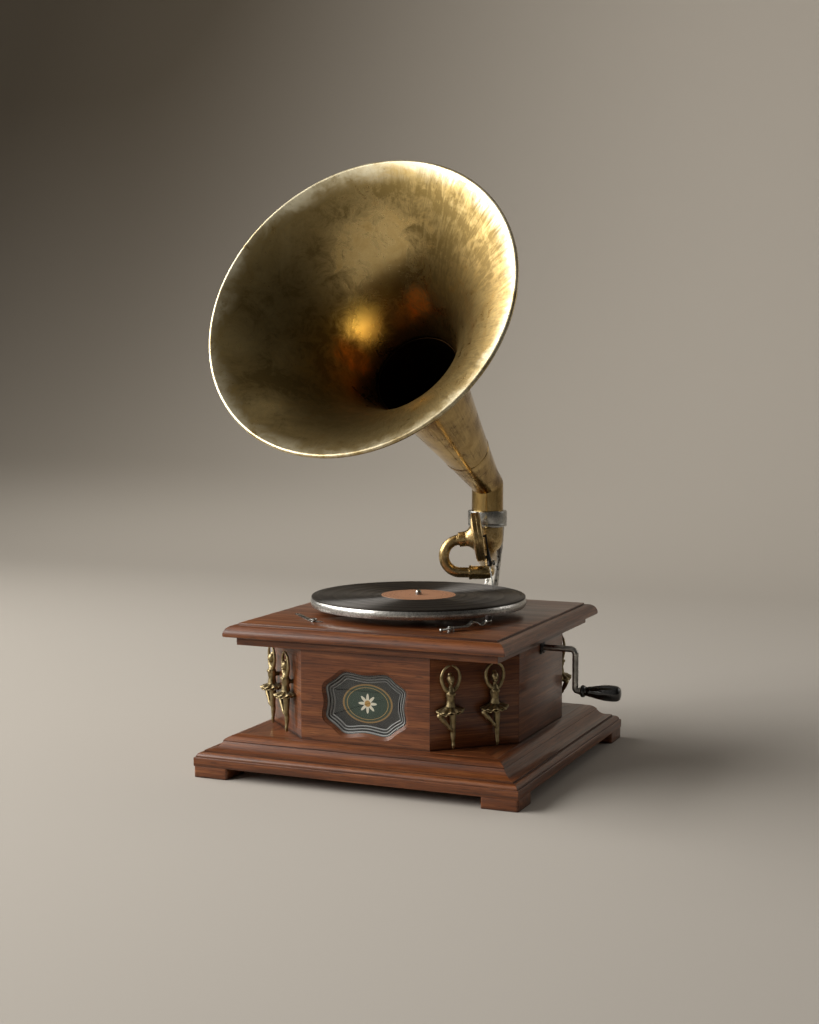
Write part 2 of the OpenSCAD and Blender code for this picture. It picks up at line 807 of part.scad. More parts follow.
// The bends are a little fuller than the straight runs, which reach into them
bend_over = 0.1;
bend_lap = 0.5;
module arm_tube(shrink, extend) {
  r0 = root_r - shrink;
  r1 = arm_mid_r - shrink;
  r2 = arm_end_r - shrink;
  neck_top = collar_over_arm + ledge_t + small_gap;
  run_l = arm_l - end_bend - root_bend + 2 * bend_lap;
  translate([0, 0, root_bend - bend_lap])
    cylinder(r = r0, h = neck_top - root_bend + flange_h + extend + bend_lap);
  translate([0, -root_bend, root_bend]) rotate([-90, 0, 90]) bend(root_bend, r0 + bend_over, 90);
  translate([0, bend_lap - root_bend, 0]) rotate([90, 0, 0]) rotate_extrude()
    polygon([[0, 0], [r0, 0], [r1, slim_start - root_bend], [r2, run_l], [0, run_l]]);
  translate([-end_bend, -arm_l + end_bend, 0]) rotate([0, 0, -90]) bend(end_bend, r2 + bend_over, 90);
  translate([bend_lap - end_bend, -arm_l, 0]) rotate([0, -90, 0])
    cylinder(r = r2, h = sleeve_l - end_bend + bend_lap);
}

module tone_arm() color(bright_brass) {
  neck_top = collar_over_arm + ledge_t + small_gap;
  cup_top = collar_over_arm - run_gap;
  cup_edge = [[root_r, cup_top - cup_l], [root_r + 5, cup_top - cup_l * 0.75],
    [cup_r, cup_top - cup_l / 2], [cup_r, cup_top - 2]];
  on_arm() difference() {
    union() {
      arm_tube(0, 0);
      translate([0, 0, neck_top]) cylinder(r = flange_r, h = flange_h);
      rotate_extrude() polygon(concat([[0, cup_top - cup_l]], curve(cup_edge, 12),
        [[cup_r, cup_top], [0, cup_top]]));
      translate([-sleeve_l, -arm_l, 0]) rotate([0, -90, 0])
        cylinder(r = arm_end_r + bead_over, h = bead_l);
    }
    arm_tube(arm_wall + 0.4, over);
    translate([-end_bend, -arm_l, 0]) rotate([0, -90, 0]) cylinder(r = goose_r + fit, h = sleeve_l);
  }
}

module on_goose() {
  on_arm() translate([0, -arm_l, 0]) children();
}

goose_sweep = 180 - soundbox_tilt;
goose_socket_l = 6;
goose_wall = 1.1;
module on_goose_end() {
  translate([-goose_reach - goose_bend * sin(soundbox_tilt), 0, goose_bend * (1 + cos(soundbox_tilt))])
    rotate([0, 90 - soundbox_tilt, 0]) children();
}

ferrule_r = goose_r + 0.6;
ferrule_bore = goose_r - goose_wall - 0.2;
ferrule_lap = 1;
module gooseneck() color(bright_brass) {
  start = end_bend + run_gap;
  bore = goose_r - goose_wall;
  on_goose() {
    translate([-start, 0, 0]) rotate([0, -90, 0]) ring_tube(goose_r, bore, goose_reach - start);
    translate([-goose_reach, 0, goose_bend]) rotate([90, 0, 180]) rotate([0, 0, -90])
      rotate_extrude(angle = goose_sweep) translate([goose_bend, 0]) difference() {
        circle(goose_r);
        circle(bore);
      }
    on_goose_end() translate([0, 0, -ferrule_lap])
      ring_tube(ferrule_r, ferrule_bore, goose_socket_l + ferrule_lap);
  }
}

// Soundbox, drawn along its own axis from the gooseneck's end

module on_soundbox() {
  on_goose() on_goose_end() rotate([0, 0, -needle_lean]) children();
}

socket_l = 11.5;
socket_r = ferrule_r + 1.4;
flare_l = 6.5;
back_z = 1 + socket_l + flare_l;
front_z = back_z + soundbox_t;
split_z = back_z + soundbox_t / 2;
gasket_t = 1.3;
diaphragm_t = 0.4;
recess_r = diaphragm_r + 0.2;
gasket_w = 3.2;
recess_z = split_z - gasket_t - diaphragm_t / 2;
diaphragm_z = recess_z + gasket_t;
gasket_top = diaphragm_z + diaphragm_t + gasket_t;
module soundbox_body() color(bright_brass) {
  on_soundbox() rotate_extrude() polygon([[ferrule_r, 1], [socket_r + 1, 1], [socket_r + 1, 2.6],
    [socket_r, 2.6], [socket_r, 1 + socket_l - 1.5], [socket_r + 2, 1 + socket_l],
    [socket_r + 7, back_z - 1.5], [box_r - 1, back_z], [box_r, back_z + 1], [box_r, split_z],
    [recess_r, split_z], [recess_r, recess_z], [ferrule_bore, recess_z],
    [ferrule_bore, goose_socket_l], [ferrule_r, goose_socket_l]]);
}

module soundbox_face() color(bright_brass) {
  lip_r = recess_r - gasket_w;
  on_soundbox() rotate_extrude() polygon([[recess_r, split_z], [box_r, split_z], [box_r, front_z - 1],
    [box_r - 1, front_z], [lip_r + 1, front_z], [lip_r, front_z - 1], [lip_r, gasket_top],
    [recess_r, gasket_top]]);
}

module soundbox_gaskets() color(black) {
  on_soundbox() for (z = [recess_z, diaphragm_z + diaphragm_t])
    translate([0, 0, z]) rotate_extrude() translate([recess_r - gasket_w, 0])
      square([gasket_w - small_gap, gasket_t]);
}

module diaphragm() color("#c9bfa6") {
  on_soundbox() translate([0, 0, diaphragm_z]) cylinder(r = diaphragm_r, h = diaphragm_t);
}

// The bar runs from the middle of the diaphragm over a knife edge on the rim to the needle holder
bar_z = front_z + 2.2;
bar_t = 2.2;
bar_w = 2.6;
holder_r = 2.9;
holder_l = 22;
holder_x = box_r - 14;
axis_z = bar_z + bar_t / 2;
needle_drop = arm_h - needle_gap;
needle_tip_x = (goose_bend * (1 + cos(soundbox_tilt)) + axis_z * sin(soundbox_tilt) + needle_drop)
  / (cos(needle_lean) * cos(soundbox_tilt));
needle_tail_x = holder_x + 8;
needle_cone = 8;
screw_x = holder_x + holder_l - 4;
screw_r = 1.2;
module stylus_bar() color(black) {
  knife_x = box_r - 5;
  swell = [[1.4, 0], [1.8, holder_l / 3], [holder_r, holder_l / 2], [holder_r, holder_l - 2]];
  on_soundbox() difference() {
    union() {
      translate([0, 0, diaphragm_z + diaphragm_t]) cylinder(r = 1.2, h = bar_z - diaphragm_z, $fn = 32);
      translate([-1.6, -bar_w / 2, bar_z]) cube([holder_x + 4, bar_w, bar_t]);
      translate([knife_x, -3.5, front_z]) cube([3, 7, bar_z - front_z + bar_t]);
      translate([holder_x, 0, axis_z]) rotate([0, 90, 0]) rotate_extrude($fn = 48)
        polygon(concat([[0, 0]], curve(swell, 10), [[holder_r - 1, holder_l], [0, holder_l]]));
    }
    translate([0, 0, axis_z]) rod_x(needle_r + fit, needle_tail_x, holder_x + holder_l + over);
    translate([screw_x, 0, axis_z]) cylinder(r = screw_r, h = holder_r + over, $fn = 32);
  }
}

module needle() color(nickel) {
  on_soundbox() translate([0, 0, axis_z]) rotate([0, 90, 0]) rotate_extrude($fn = 32)
    polygon([[0, needle_tail_x], [needle_r, needle_tail_x], [needle_r, needle_tip_x - needle_cone],
      [0.05, needle_tip_x], [0, needle_tip_x]]);
}

module needle_screw() color(nickel) {
  on_soundbox() translate([screw_x, 0, axis_z]) rotate_extrude($fn = 32)
    polygon([[0, needle_r + fit], [screw_r, needle_r + fit], [screw_r, holder_r + 0.6],
      [3, holder_r + 0.6], [3, holder_r + 3.4], [2.4, holder_r + 4], [0, holder_r + 4]]);
}

// Turntable

hub_r = 12;
hub_drop = 2;
shoulder_r = 8;
mat_edge = 3.5;
module platter() color(cast_silver) {
  mat_z = record_z - mat_t;
  web_z = mat_z - platter_web;
  hub_z = platter_z - hub_drop;
  chamfer = 1;
  inner_r = platter_r - platter_rim;
  rotate_extrude($fn = 180) polygon([[spindle_r, hub_z], [hub_r, hub_z], [hub_r, web_z],
    [inner_r, web_z], [inner_r, platter_z], [platter_r - chamfer, platter_z],
    [platter_r, platter_z + chamfer], [platter_r, record_z - chamfer],
    [platter_r - chamfer, record_z], [platter_r - mat_edge, record_z], [platter_r - mat_edge, mat_z],
    [spindle_r, mat_z]]);
}

module platter_mat() color("#39362f") {
  translate([0, 0, record_z - mat_t]) difference() {
    cylinder(r = platter_r - mat_edge - small_gap, h = mat_t);
    translate([0, 0, -over]) cylinder(r = shoulder_r, h = mat_t + 2 * over);
  }
}

record_fit = 0.08;
module record() color(black) {
  edge = 0.5;
  hole_r = spindle_tip_r + record_fit;
  translate([0, 0, record_z]) rotate_extrude($fn = 180) polygon([[hole_r, 0], [record_r - edge, 0],
    [record_r, edge], [record_r, record_t - edge], [record_r - edge, record_t], [hole_r, record_t]]);
}

label_t = 0.2;
module record_label() color("#b5794e") {
  translate([0, 0, record_top]) difference() {
    cylinder(r = label_r, h = label_t);
    translate([0, 0, -over]) cylinder(r = spindle_tip_r + record_fit, h = 2 * over, $fn = 48);
  }
}

footstep_t = 0.6;
foot_r = 3;
module spindle() color(steel) {
  end_z = lower_z + footstep_t + small_gap;
  hub_z = platter_z - hub_drop;
  tip_z = record_top + spindle_tip_h;
  round_r = spindle_tip_r - 0.6;
  rotate_extrude($fn = 48) {
    polygon([[0, end_z], [foot_r, end_z], [foot_r, lower_top + 2], [spindle_r, lower_top + 2],
      [spindle_r, hub_z - 6], [shoulder_r, hub_z - 6], [shoulder_r, hub_z], [spindle_r, hub_z],
      [spindle_r, record_z - mat_t], [spindle_tip_r, record_z - mat_t],
      [spindle_tip_r, tip_z - round_r], [0, tip_z - round_r]]);
    intersection() {
      translate([0, tip_z - spindle_tip_r]) circle(spindle_tip_r, $fn = 48);
      translate([0, tip_z - round_r - over]) square([spindle_tip_r, round_r + 2 * over]);
    }
  }
  translate([0, 0, inter_wheel_z - 1]) rotate([0, 0, atan2(inter_y, inter_x) + 180 / spindle_teeth])
    linear_extrude(6) polygon(gear_points(spindle_teeth, wheel_module));
}

governor_wheel_t = 2;
module governor_wheel() color(bright_brass) {
  translate([0, 0, governor_z - governor_wheel_t / 2]) rotate([0, 0, -90])
    linear_extrude(governor_wheel_t) difference() {
      polygon(gear_points(governor_teeth, governor_module));
      circle(spindle_r);
    }
}

// Motor frame

module motor_plan(right) {
  translate([plate_left, -plate_half_y]) square([right - plate_left, 2 * plate_half_y]);
}

module shaft_bores(r_spindle, r_arbor, r_inter) {
  circle(r_spindle);
  translate([barrel_x, 0]) circle(r_arbor);
  translate([inter_x, inter_y]) circle(r_inter);
}

slot_half = pinion_r + 4;
slot_x = barrel_x + arbor_r + 4;
module motor_plate() color(steel) {
  difference() {
    union() {
      translate([0, 0, plate_z]) linear_extrude(plate_t) difference() {
        motor_plan(plate_right);
        shaft_bores(spindle_r + fit, arbor_r + fit, inter_shaft_r + fit);
        for (p = bolt_places) translate(p) circle(bolt_r, $fn = 48);
        translate([slot_x, -slot_half]) square([lug_x - 2 - slot_x, 2 * slot_half]);
      }
      translate([lug_x, -9, shaft_z - 8]) cube([lug_t, 18, plate_z - shaft_z + 8]);
    }
    translate([0, 0, shaft_z]) rod_x(rod_r + fit, lug_x - over, lug_x + lug_t + over);
  }
}

bolt_head_r = 5;
bolt_head_h = 3;
module motor_bolts() color(steel) {
  for (p = bolt_places) translate([p.x, p.y, 0]) {
    translate([0, 0, plate_z]) cylinder(r = bolt_r, h = deck_z - plate_z, $fn = 48);
    translate([0, 0, deck_z]) cylinder(r = bolt_head_r, h = bolt_head_h, $fn = 48);
  }
}

washer_r = 8;
module motor_washers() color(black) {
  for (p = bolt_places) translate([p.x, p.y, plate_top]) difference() {
    cylinder(r = washer_r, h = washer_t, $fn = 48);
    translate([0, 0, -over]) cylinder(r = bolt_r + fit, h = washer_t + 2 * over, $fn = 48);
  }
}

module motor_pillars() color(bright_brass) {
  collar = 1.5;
  for (s = [-1, 1], p = [[pillar_left, pillar_left_y], [pillar_right, pillar_right_y]])
    translate([p.x, s * p.y, lower_top]) {
      cylinder(r = pillar_r, h = pillar_l, $fn = 48);
      for (z = [0, pillar_l - 4]) translate([0, 0, z]) cylinder(r = pillar_r + collar, h = 4, $fn = 48);
    }
}

post_x = [17, -76];
post_t = 8;
post_w = 10;
module motor_lower_plate() color(steel) {
  difference() {
    union() {
      translate([0, 0, lower_z]) linear_extrude(plate_t) motor_plan(lower_right);
      for (x = post_x) translate([x - post_t / 2, -governor_y - post_w / 2, lower_top])
        cube([post_t, post_w, governor_z - lower_top + 5]);
    }
    translate([0, 0, lower_z + footstep_t]) linear_extrude(plate_t)
      shaft_bores(foot_r + fit, foot_r + fit, inter_shaft_r + fit);
    translate([0, -governor_y, governor_z])
      rod_x(governor_shaft_r + fit, post_x[1] - post_t, post_x[0] + post_t);
  }
}

// A close coil round the winding shaft grips it when it turns back
coil_r = 5;
coil_wire = 0.8;
coil_turns = 6;
coil_l = 14;
module clutch_spring() color(steel) {
  translate([lug_x + lug_t, 0, shaft_z]) rotate([0, 90, 0])
    linear_extrude(coil_l, twist = -360 * coil_turns, slices = 12 * coil_turns, $fn = 6)
      translate([coil_r, 0]) circle(coil_wire);
}

// Spring barrel

barrel_wall = 2.5;
barrel_floor = 3;
module spring_barrel() color(bright_brass) {
  translate([barrel_x, 0, 0]) difference() {
    union() {
      translate([0, 0, barrel_z]) cylinder(r = barrel_r, h = barrel_h);
      translate([0, 0, great_z]) rotate([0, 0, atan2(inter_y, inter_x - barrel_x)])
        linear_extrude(great_t) polygon(gear_points(barrel_teeth, barrel_module));
    }
    translate([0, 0, barrel_z + barrel_floor]) cylinder(r = barrel_r - barrel_wall, h = barrel_h);
    translate([0, 0, barrel_z - over]) cylinder(r = arbor_r + fit, h = barrel_h);
  }
}

cover_t = 2.5;
module barrel_cover() color(bright_brass) {
  translate([barrel_x, 0, barrel_z + barrel_h - cover_t]) difference() {
    cylinder(r = barrel_r - barrel_wall, h = cover_t);
    translate([0, 0, -over]) cylinder(r = arbor_r + fit, h = cover_t + 2 * over);
  }
}

// Flat spiral from the hub of the arbor to the wall of the barrel
module mainspring() color(steel) {
  inner = arbor_r + 2.4;
  outer = barrel_r - barrel_wall - spring_t;
  steps = 24 * spring_turns;
  grow = (outer - inner) / steps;
  path = [for (i = [0:steps]) [inner + grow * i, 15 * i]];
  translate([barrel_x, 0, barrel_z + barrel_floor])
    linear_extrude(barrel_h - barrel_floor - cover_t - run_gap) polygon(concat(
      [for (p = path) polar(p[0], p[1])],
      [for (i = [steps:-1:0]) polar(path[i][0] + spring_t, path[i][1])]));
}

arbor_collar_r = 9;
arbor_hub_r = arbor_r + 2;
module winding_arbor() color(steel) {
  end_z = lower_z + footstep_t + small_gap;
  carry = barrel_z - small_gap;
  hub_low = barrel_z + barrel_floor + run_gap;
  hub_high = barrel_z + barrel_h - cover_t - run_gap;
  translate([barrel_x, 0, 0]) rotate_extrude($fn = 48) polygon([[0, end_z], [foot_r, end_z],
    [foot_r, lower_top + small_gap], [arbor_collar_r, lower_top + small_gap], [arbor_collar_r, carry],
    [arbor_r, carry], [arbor_r, hub_low], [arbor_hub_r, hub_low], [arbor_hub_r, hub_high],
    [arbor_r, hub_high], [arbor_r, plate_top], [0, plate_top]]);
}

bevel_face = 0.3;
module bevel_gear(n, cone) {
  apex = n * winding_module / 2 / tan(cone);
  linear_extrude(apex * bevel_face, scale = 1 - bevel_face) polygon(bevel_points(n, winding_module, cone));
}

module winding_wheel() color(bright_brass) {
  translate([barrel_x, 0, 0]) difference() {
    union() {
      translate([0, 0, shaft_z - pinion_r]) bevel_gear(winding_teeth, winding_cone);
      translate([0, 0, wheel_back]) cylinder(r = winding_r - 4, h = shaft_z - pinion_r - wheel_back);
    }
    translate([0, 0, wheel_back - over]) cylinder(r = arbor_r, h = 4 * pinion_r);
  }
}

module intermediate_pinion() color(steel) {
  end_z = lower_z + footstep_t + small_gap;
  translate([inter_x, inter_y, 0]) {
    translate([0, 0, end_z]) cylinder(r = inter_shaft_r, h = plate_top - end_z, $fn = 48);
    translate([0, 0, great_z - 1])
      rotate([0, 0, atan2(-inter_y, barrel_x - inter_x) + 180 / intermediate_pinion_teeth])
        linear_extrude(great_t + 2) polygon(gear_points(intermediate_pinion_teeth, barrel_module));
  }
}

inter_wheel_t = 4;
module intermediate_wheel() color(bright_brass) {
  translate([inter_x, inter_y, inter_wheel_z]) rotate([0, 0, atan2(-inter_y, -inter_x)])
    linear_extrude(inter_wheel_t) difference() {
      polygon(gear_points(intermediate_teeth, wheel_module));
      circle(inter_shaft_r, $fn = 48);
    }
}

// Governor: a worm shaft whose weights fly out on leaf springs and draw the disc along

module on_governor() {
  translate([0, -governor_y, governor_z]) children();
}

worm_pitch = PI * governor_module;
worm_lead = worm_starts * worm_pitch;
worm_l = 12;
worm_low = worm_r - 1.2 * governor_module;
worm_high = worm_r + 0.8 * governor_module;
// Turn that puts a groove of the worm where the wheel's tooth stands
worm_turn = 65;
module worm() {
  low_half = 25;
  high_half = 7;
  tooth = 360 / worm_starts;
  ring = [for (i = [0:worm_starts - 1]) each [
    polar(worm_low, tooth * i - low_half), polar(worm_high, tooth * i - high_half),
    polar(worm_high, tooth * i + high_half), polar(worm_low, tooth * i + low_half)]];
  turns = worm_l / worm_lead;
  translate([-worm_l / 2, 0, 0]) rotate([0, 90, 0]) rotate([0, 0, worm_turn + 180 * turns])
    linear_extrude(worm_l, twist = -360 * turns, slices = ceil(24 * turns), $fn = 16) polygon(ring);
}

module governor_shaft() color(steel) {
  end_gap = 2;
  on_governor() {
    rod_x(governor_shaft_r, post_x[1] - post_t / 2 - end_gap, post_x[0] + post_t / 2 + end_gap);
    worm();
  }
}

collar_places = [-54, -26];
hub_t = 5;
leaf_r = 5.2;
leaf_t = 0.6;
leaf_w = 4;
module governor_springs() color(steel) {
  on_governor() {
    for (x = collar_places) difference() {
      rod_x(leaf_r + leaf_t, x, x + hub_t);
      rod_x(governor_shaft_r, x - over, x + hub_t + over);
    }
    for (a = [0, 120, 240]) rotate([a, 0, 0])
      translate([collar_places[0] + hub_t, -leaf_w / 2, leaf_r - leaf_t])
        cube([collar_places[1] - collar_places[0] - hub_t, leaf_w, leaf_t]);
  }
}

module governor_weights() color(steel) {
  middle = (collar_places[0] + collar_places[1] + hub_t) / 2;
  sink = 0.6;
  on_governor() for (a = [0, 120, 240]) rotate([a, 0, 0]) intersection() {
    translate([middle, 0, leaf_r + weight_r - sink]) sphere(weight_r, $fn = 48);
    translate([middle - weight_r, -weight_r, leaf_r]) cube([2 * weight_r, 2 * weight_r, 2 * weight_r]);
  }
}

module governor_disc() color(bright_brass) {
  on_governor() difference() {
    union() {
      rod_x(disc_r, disc_x - disc_t / 2, disc_x + disc_t / 2);
      rod_x(5, disc_x + disc_t / 2, collar_places[0]);
    }
    rod_x(governor_shaft_r, disc_x - 2 * disc_t, collar_places[0] + over);
  }
}

// The arm turns on a pillar: one end carries the felt pad beside the disc, a fork at the other end
// stands round the cam of the speed knob
arm_t = 4;
arm_w = 7;
pad_gap = 1;
pad_t = 2.2;
pad_w = 7;
cam_r = 5;
cam_shift = 3;
fork_w = 3;
module governor_arm() color(steel) {
  pad_y = -governor_y - disc_r + 2;
  pad_x = disc_x - disc_t / 2 - pad_gap - pad_t;
  slot = cam_r + run_gap;
  cam = [-speed_x, -speed_y + cam_shift];
  fork = cam + [0, slot];
  hub = [pillar_left, -pillar_left_y];
  translate([0, 0, governor_z - arm_t / 2]) linear_extrude(arm_t) difference() {
    union() {
      translate(hub) circle(pillar_r + 3.5);
      polygon([hub + [-arm_w / 2, 0], fork + [-arm_w / 2, 0], fork + [arm_w / 2, 0],
        hub + [arm_w / 2, 0]]);
      translate(cam - [slot + fork_w, cam_r]) square([2 * (slot + fork_w), cam_r + slot + fork_w]);
      polygon([hub + [-arm_w / 2, 0], hub + [arm_w / 2, 0], [pad_x + pad_t, pad_y],
        [pad_x + pad_t, pad_y + pad_w], [pad_x, pad_y + pad_w], [pad_x, pad_y]]);
    }
    translate(hub) circle(pillar_r + fit);
    translate(cam) circle(slot);
    translate(cam - [slot, 2 * cam_r]) square([2 * slot, 2 * cam_r]);
  }
}

// Winding handle

grip_gap = 1.2;
grip_x = crank_x + rod_bend + grip_gap;
grip_rod_r = rod_r - 1;
module on_shaft() {
  translate([0, 0, shaft_z]) children();
}

module crank_rod() color(steel) {
  inner_x = barrel_x + winding_r * (1 - bevel_face) + 0.5;
  low = shaft_z - crank_throw;
  bend_x = crank_x - rod_bend;
  out_x = crank_x + rod_bend;
  on_shaft() rod_x(rod_r, inner_x, bend_x);
  translate([bend_x, 0, shaft_z - rod_bend]) rotate([90, 0, 0]) bend(rod_bend, rod_r, 90);
  translate([crank_x, 0, low + rod_bend]) cylinder(r = rod_r, h = crank_throw - 2 * rod_bend);
  translate([out_x, 0, low + rod_bend]) rotate([90, 0, 0]) rotate([0, 0, 180]) bend(rod_bend, rod_r, 90);
  translate([0, 0, low]) {
    rod_x(rod_r, out_x, grip_x - run_gap);
    rod_x(grip_rod_r, out_x, grip_x + grip_l - 4);
  }
}

// The knob at the end turns freely on the rod
module crank_grip() color(black) {
  belly = [[grip_r - 3.6, 9], [grip_r - 1.2, grip_l * 0.38], [grip_r + 1.2, grip_l * 0.62],
    [grip_r - 1.6, grip_l - 4]];
  translate([0, 0, shaft_z - crank_throw]) rotate([0, 90, 0]) difference() {
    translate([0, 0, grip_x]) rotate_extrude() polygon(concat(
      [[0, 0], [grip_r - 4, 0], [grip_r - 2.6, 1], [grip_r - 2.6, 3.4], [grip_r - 4.4, 4.4],
        [grip_r - 4.4, 7]],
      curve(belly, 14), [[grip_r - 3.6, grip_l - 1.2], [grip_r - 6, grip_l], [0, grip_l]]));
    translate([0, 0, grip_x - over]) cylinder(r = grip_rod_r + fit, h = grip_l - 3 + over, $fn = 48);
  }
}

hub_l = 6;
module winding_pinion() color(bright_brass) {
  large_x = barrel_x + winding_r;
  on_shaft() difference() {
    union() {
      translate([large_x, 0, 0]) rotate([0, -90, 0]) rotate([0, 0, 180 / winding_pinion_teeth])
        bevel_gear(winding_pinion_teeth, 90 - winding_cone);
      rod_x(pinion_r - 2.5, large_x, large_x + hub_l);
    }
    rod_x(rod_r, large_x - 3 * winding_r, large_x + 2 * hub_l);
  }
}

petals = 4;
rosette_t = 3;
petal_r = 2;
module crank_escutcheon() color(black) {
  rosette_r = shaft_drop - 0.5;
  on_shaft() difference() {
    union() {
      translate([box_half, 0, 0]) rotate([0, 90, 0]) linear_extrude(rosette_t) {
        circle(rosette_r - 0.6);
        for (i = [0:petals - 1]) rotate(360 / petals * (i + 0.5)) translate([rosette_r, 0])
          circle(petal_r, $fn = 32);
      }
      rod_x(bush_r, inner_half, box_half);
    }
    rod_x(rod_r + fit, inner_half - over, box_half + rosette_t + over);
  }
}

// Controls on the top board

blade_w = 6;
blade_t = 1.6;
blade_lift = 3;
boss_r = 5;
eye_r = 4;
wave_h = 4.2;
ball_r = 3.4;
handle_l = 17.5;
handle_turn = 201;
eye_z = blade_lift + wave_h;
module on_brake() {
  translate([brake_x, -brake_y, deck_z]) rotate([0, 0, brake_dir]) children();
}

// The blade is a ribbon that waves up and down between the boss and the eye under the pad
module brake_lever() color(nickel) {
  steps = 24;
  flat_l = brake_l * 0.4;
  ribbon = [for (i = [0:steps]) [flat_l + (brake_l - flat_l) * i / steps,
    blade_lift + wave_h / 2 * (1 - cos(540 * i / steps))]];
  on_brake() {
    translate([0, 0, -brake_pin_l]) cylinder(r = brake_pin_r, h = brake_pin_l + over, $fn = 48);
    translate([0, 0, small_gap]) rotate_extrude($fn = 48) polygon([[0, 0], [boss_r, 0],
      [boss_r, blade_lift + blade_t + 1], [boss_r - 1.5, blade_lift + blade_t + 2.5],
      [0, blade_lift + blade_t + 2.5]]);
    translate([0, blade_w / 2, 0]) rotate([90, 0, 0]) linear_extrude(blade_w)
      polygon(concat([[boss_r - 1, blade_lift]], ribbon,
        [for (i = [steps:-1:0]) ribbon[i] + [0, blade_t]], [[boss_r - 1, blade_lift + blade_t]]));
    translate([brake_l, 0, eye_z]) cylinder(r = eye_r, h = blade_t);
    rotate([0, 0, handle_turn]) translate([0, 0, blade_lift + blade_t / 2]) {
      rod_x(1.6, boss_r - 1, handle_l);
      translate([handle_l, 0, 0]) sphere(ball_r, $fn = 48);
    }
  }
}

module brake_pad() color("#4a3526") {
  on_brake() translate([brake_l, 0, eye_z + blade_t])
    cylinder(r = brake_pad_r, h = platter_gap + platter_h / 2 - eye_z, $fn = 48);
}

plate_w = 9;
plate_gap = 8;
speed_plate_t = 0.8;
speed_plate_end = [-124, -68];
module speed_plate() color(nickel) {
  knob = [-speed_x, -speed_y];
  along = unit(speed_plate_end - knob);
  side = [-along.y, along.x] * plate_w / 2;
  start = knob + along * plate_gap;
  screw_h = 1;
  translate([0, 0, deck_z]) {
    linear_extrude(speed_plate_t) {
      polygon([start + side, start - side, speed_plate_end - side, speed_plate_end + side]);
      translate(speed_plate_end) circle(plate_w / 2);
    }
    for (p = [speed_plate_end, start + along * plate_w])
      translate([p.x, p.y, speed_plate_t]) cylinder(r1 = 2.4, r2 = 1.6, h = screw_h, $fn = 32);
  }
}

pointer_l = 13;
module speed_knob() color(nickel) {
  r = speed_knob_r;
  translate([-speed_x, -speed_y, 0]) {
    translate([0, 0, deck_z + small_gap]) {
      rotate_extrude($fn = 48) polygon([[0, 0], [r - 0.6, 0], [r - 0.6, 1.2], [r - 2, 2], [r - 2, 3.4],
        [r, 4], [r, 6.4], [r - 1.4, 7.6], [0, 8]]);
      linear_extrude(1.2) polygon([[0, -2.6], [pointer_l, -0.4], [pointer_l, 0.4], [0, 2.6]]);
    }
    translate([0, 0, governor_z - arm_t / 2])
      cylinder(r = speed_shaft_r, h = deck_z + 1 - governor_z + arm_t / 2, $fn = 48);
    translate([0, cam_shift, governor_z - arm_t / 2]) cylinder(r = cam_r, h = arm_t);
  }
}

bracket_feet();
plinth_rails();
bottom_board();
front_panel();
back_panel();
side_panels();
corner_panels();
window_glass();
window_card();
window_backing();
frieze_rails();
top_board();
dancers_front();
dancers_back();
horn_bracket();
bracket_screws();
crank_escutcheon();
speed_plate();
motor_plate();
motor_bolts();
motor_washers();
motor_pillars();
motor_lower_plate();
clutch_spring();
platter();
platter_mat();
record();
record_label();
spindle();
governor_wheel();
spring_barrel();
barrel_cover();
mainspring();
winding_arbor();
winding_wheel();
intermediate_pinion();
intermediate_wheel();
governor_shaft();
governor_weights();
governor_springs();
governor_disc();
governor_arm();
crank_rod();
winding_pinion();
crank_grip();
brake_lever();
brake_pad();
speed_knob();
horn_elbow();
horn_neck();
horn_bell();
tone_arm();
gooseneck();
soundbox_body();
soundbox_face();
soundbox_gaskets();
diaphragm();
stylus_bar();
needle();
needle_screw();
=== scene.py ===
"""Looks of the horn gramophone: spun brass, moulded walnut and a grooved record.

Forms are drawn in millimetres and become meshes in metres. Each point also carries pattern
coordinates, which the finishes read: along the grain of a board, or round and along a turned
piece.
"""
import json
import math

import bmesh
import bpy
from mathutils import Matrix, Quaternion, Vector, noise


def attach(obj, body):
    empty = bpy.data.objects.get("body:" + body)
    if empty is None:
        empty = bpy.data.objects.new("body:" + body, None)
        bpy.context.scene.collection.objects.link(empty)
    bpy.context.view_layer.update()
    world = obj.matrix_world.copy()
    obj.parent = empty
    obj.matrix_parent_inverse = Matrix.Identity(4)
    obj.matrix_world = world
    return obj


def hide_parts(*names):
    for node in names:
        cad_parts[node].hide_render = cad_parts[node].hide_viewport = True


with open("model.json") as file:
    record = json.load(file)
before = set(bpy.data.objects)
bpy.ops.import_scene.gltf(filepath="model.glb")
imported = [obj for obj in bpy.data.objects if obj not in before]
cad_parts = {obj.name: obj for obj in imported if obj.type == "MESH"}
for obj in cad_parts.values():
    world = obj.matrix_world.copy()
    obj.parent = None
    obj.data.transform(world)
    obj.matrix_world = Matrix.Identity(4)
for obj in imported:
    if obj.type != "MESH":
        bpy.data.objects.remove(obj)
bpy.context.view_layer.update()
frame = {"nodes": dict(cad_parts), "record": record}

MM = 0.001
AXIAL_STEP = 0.01

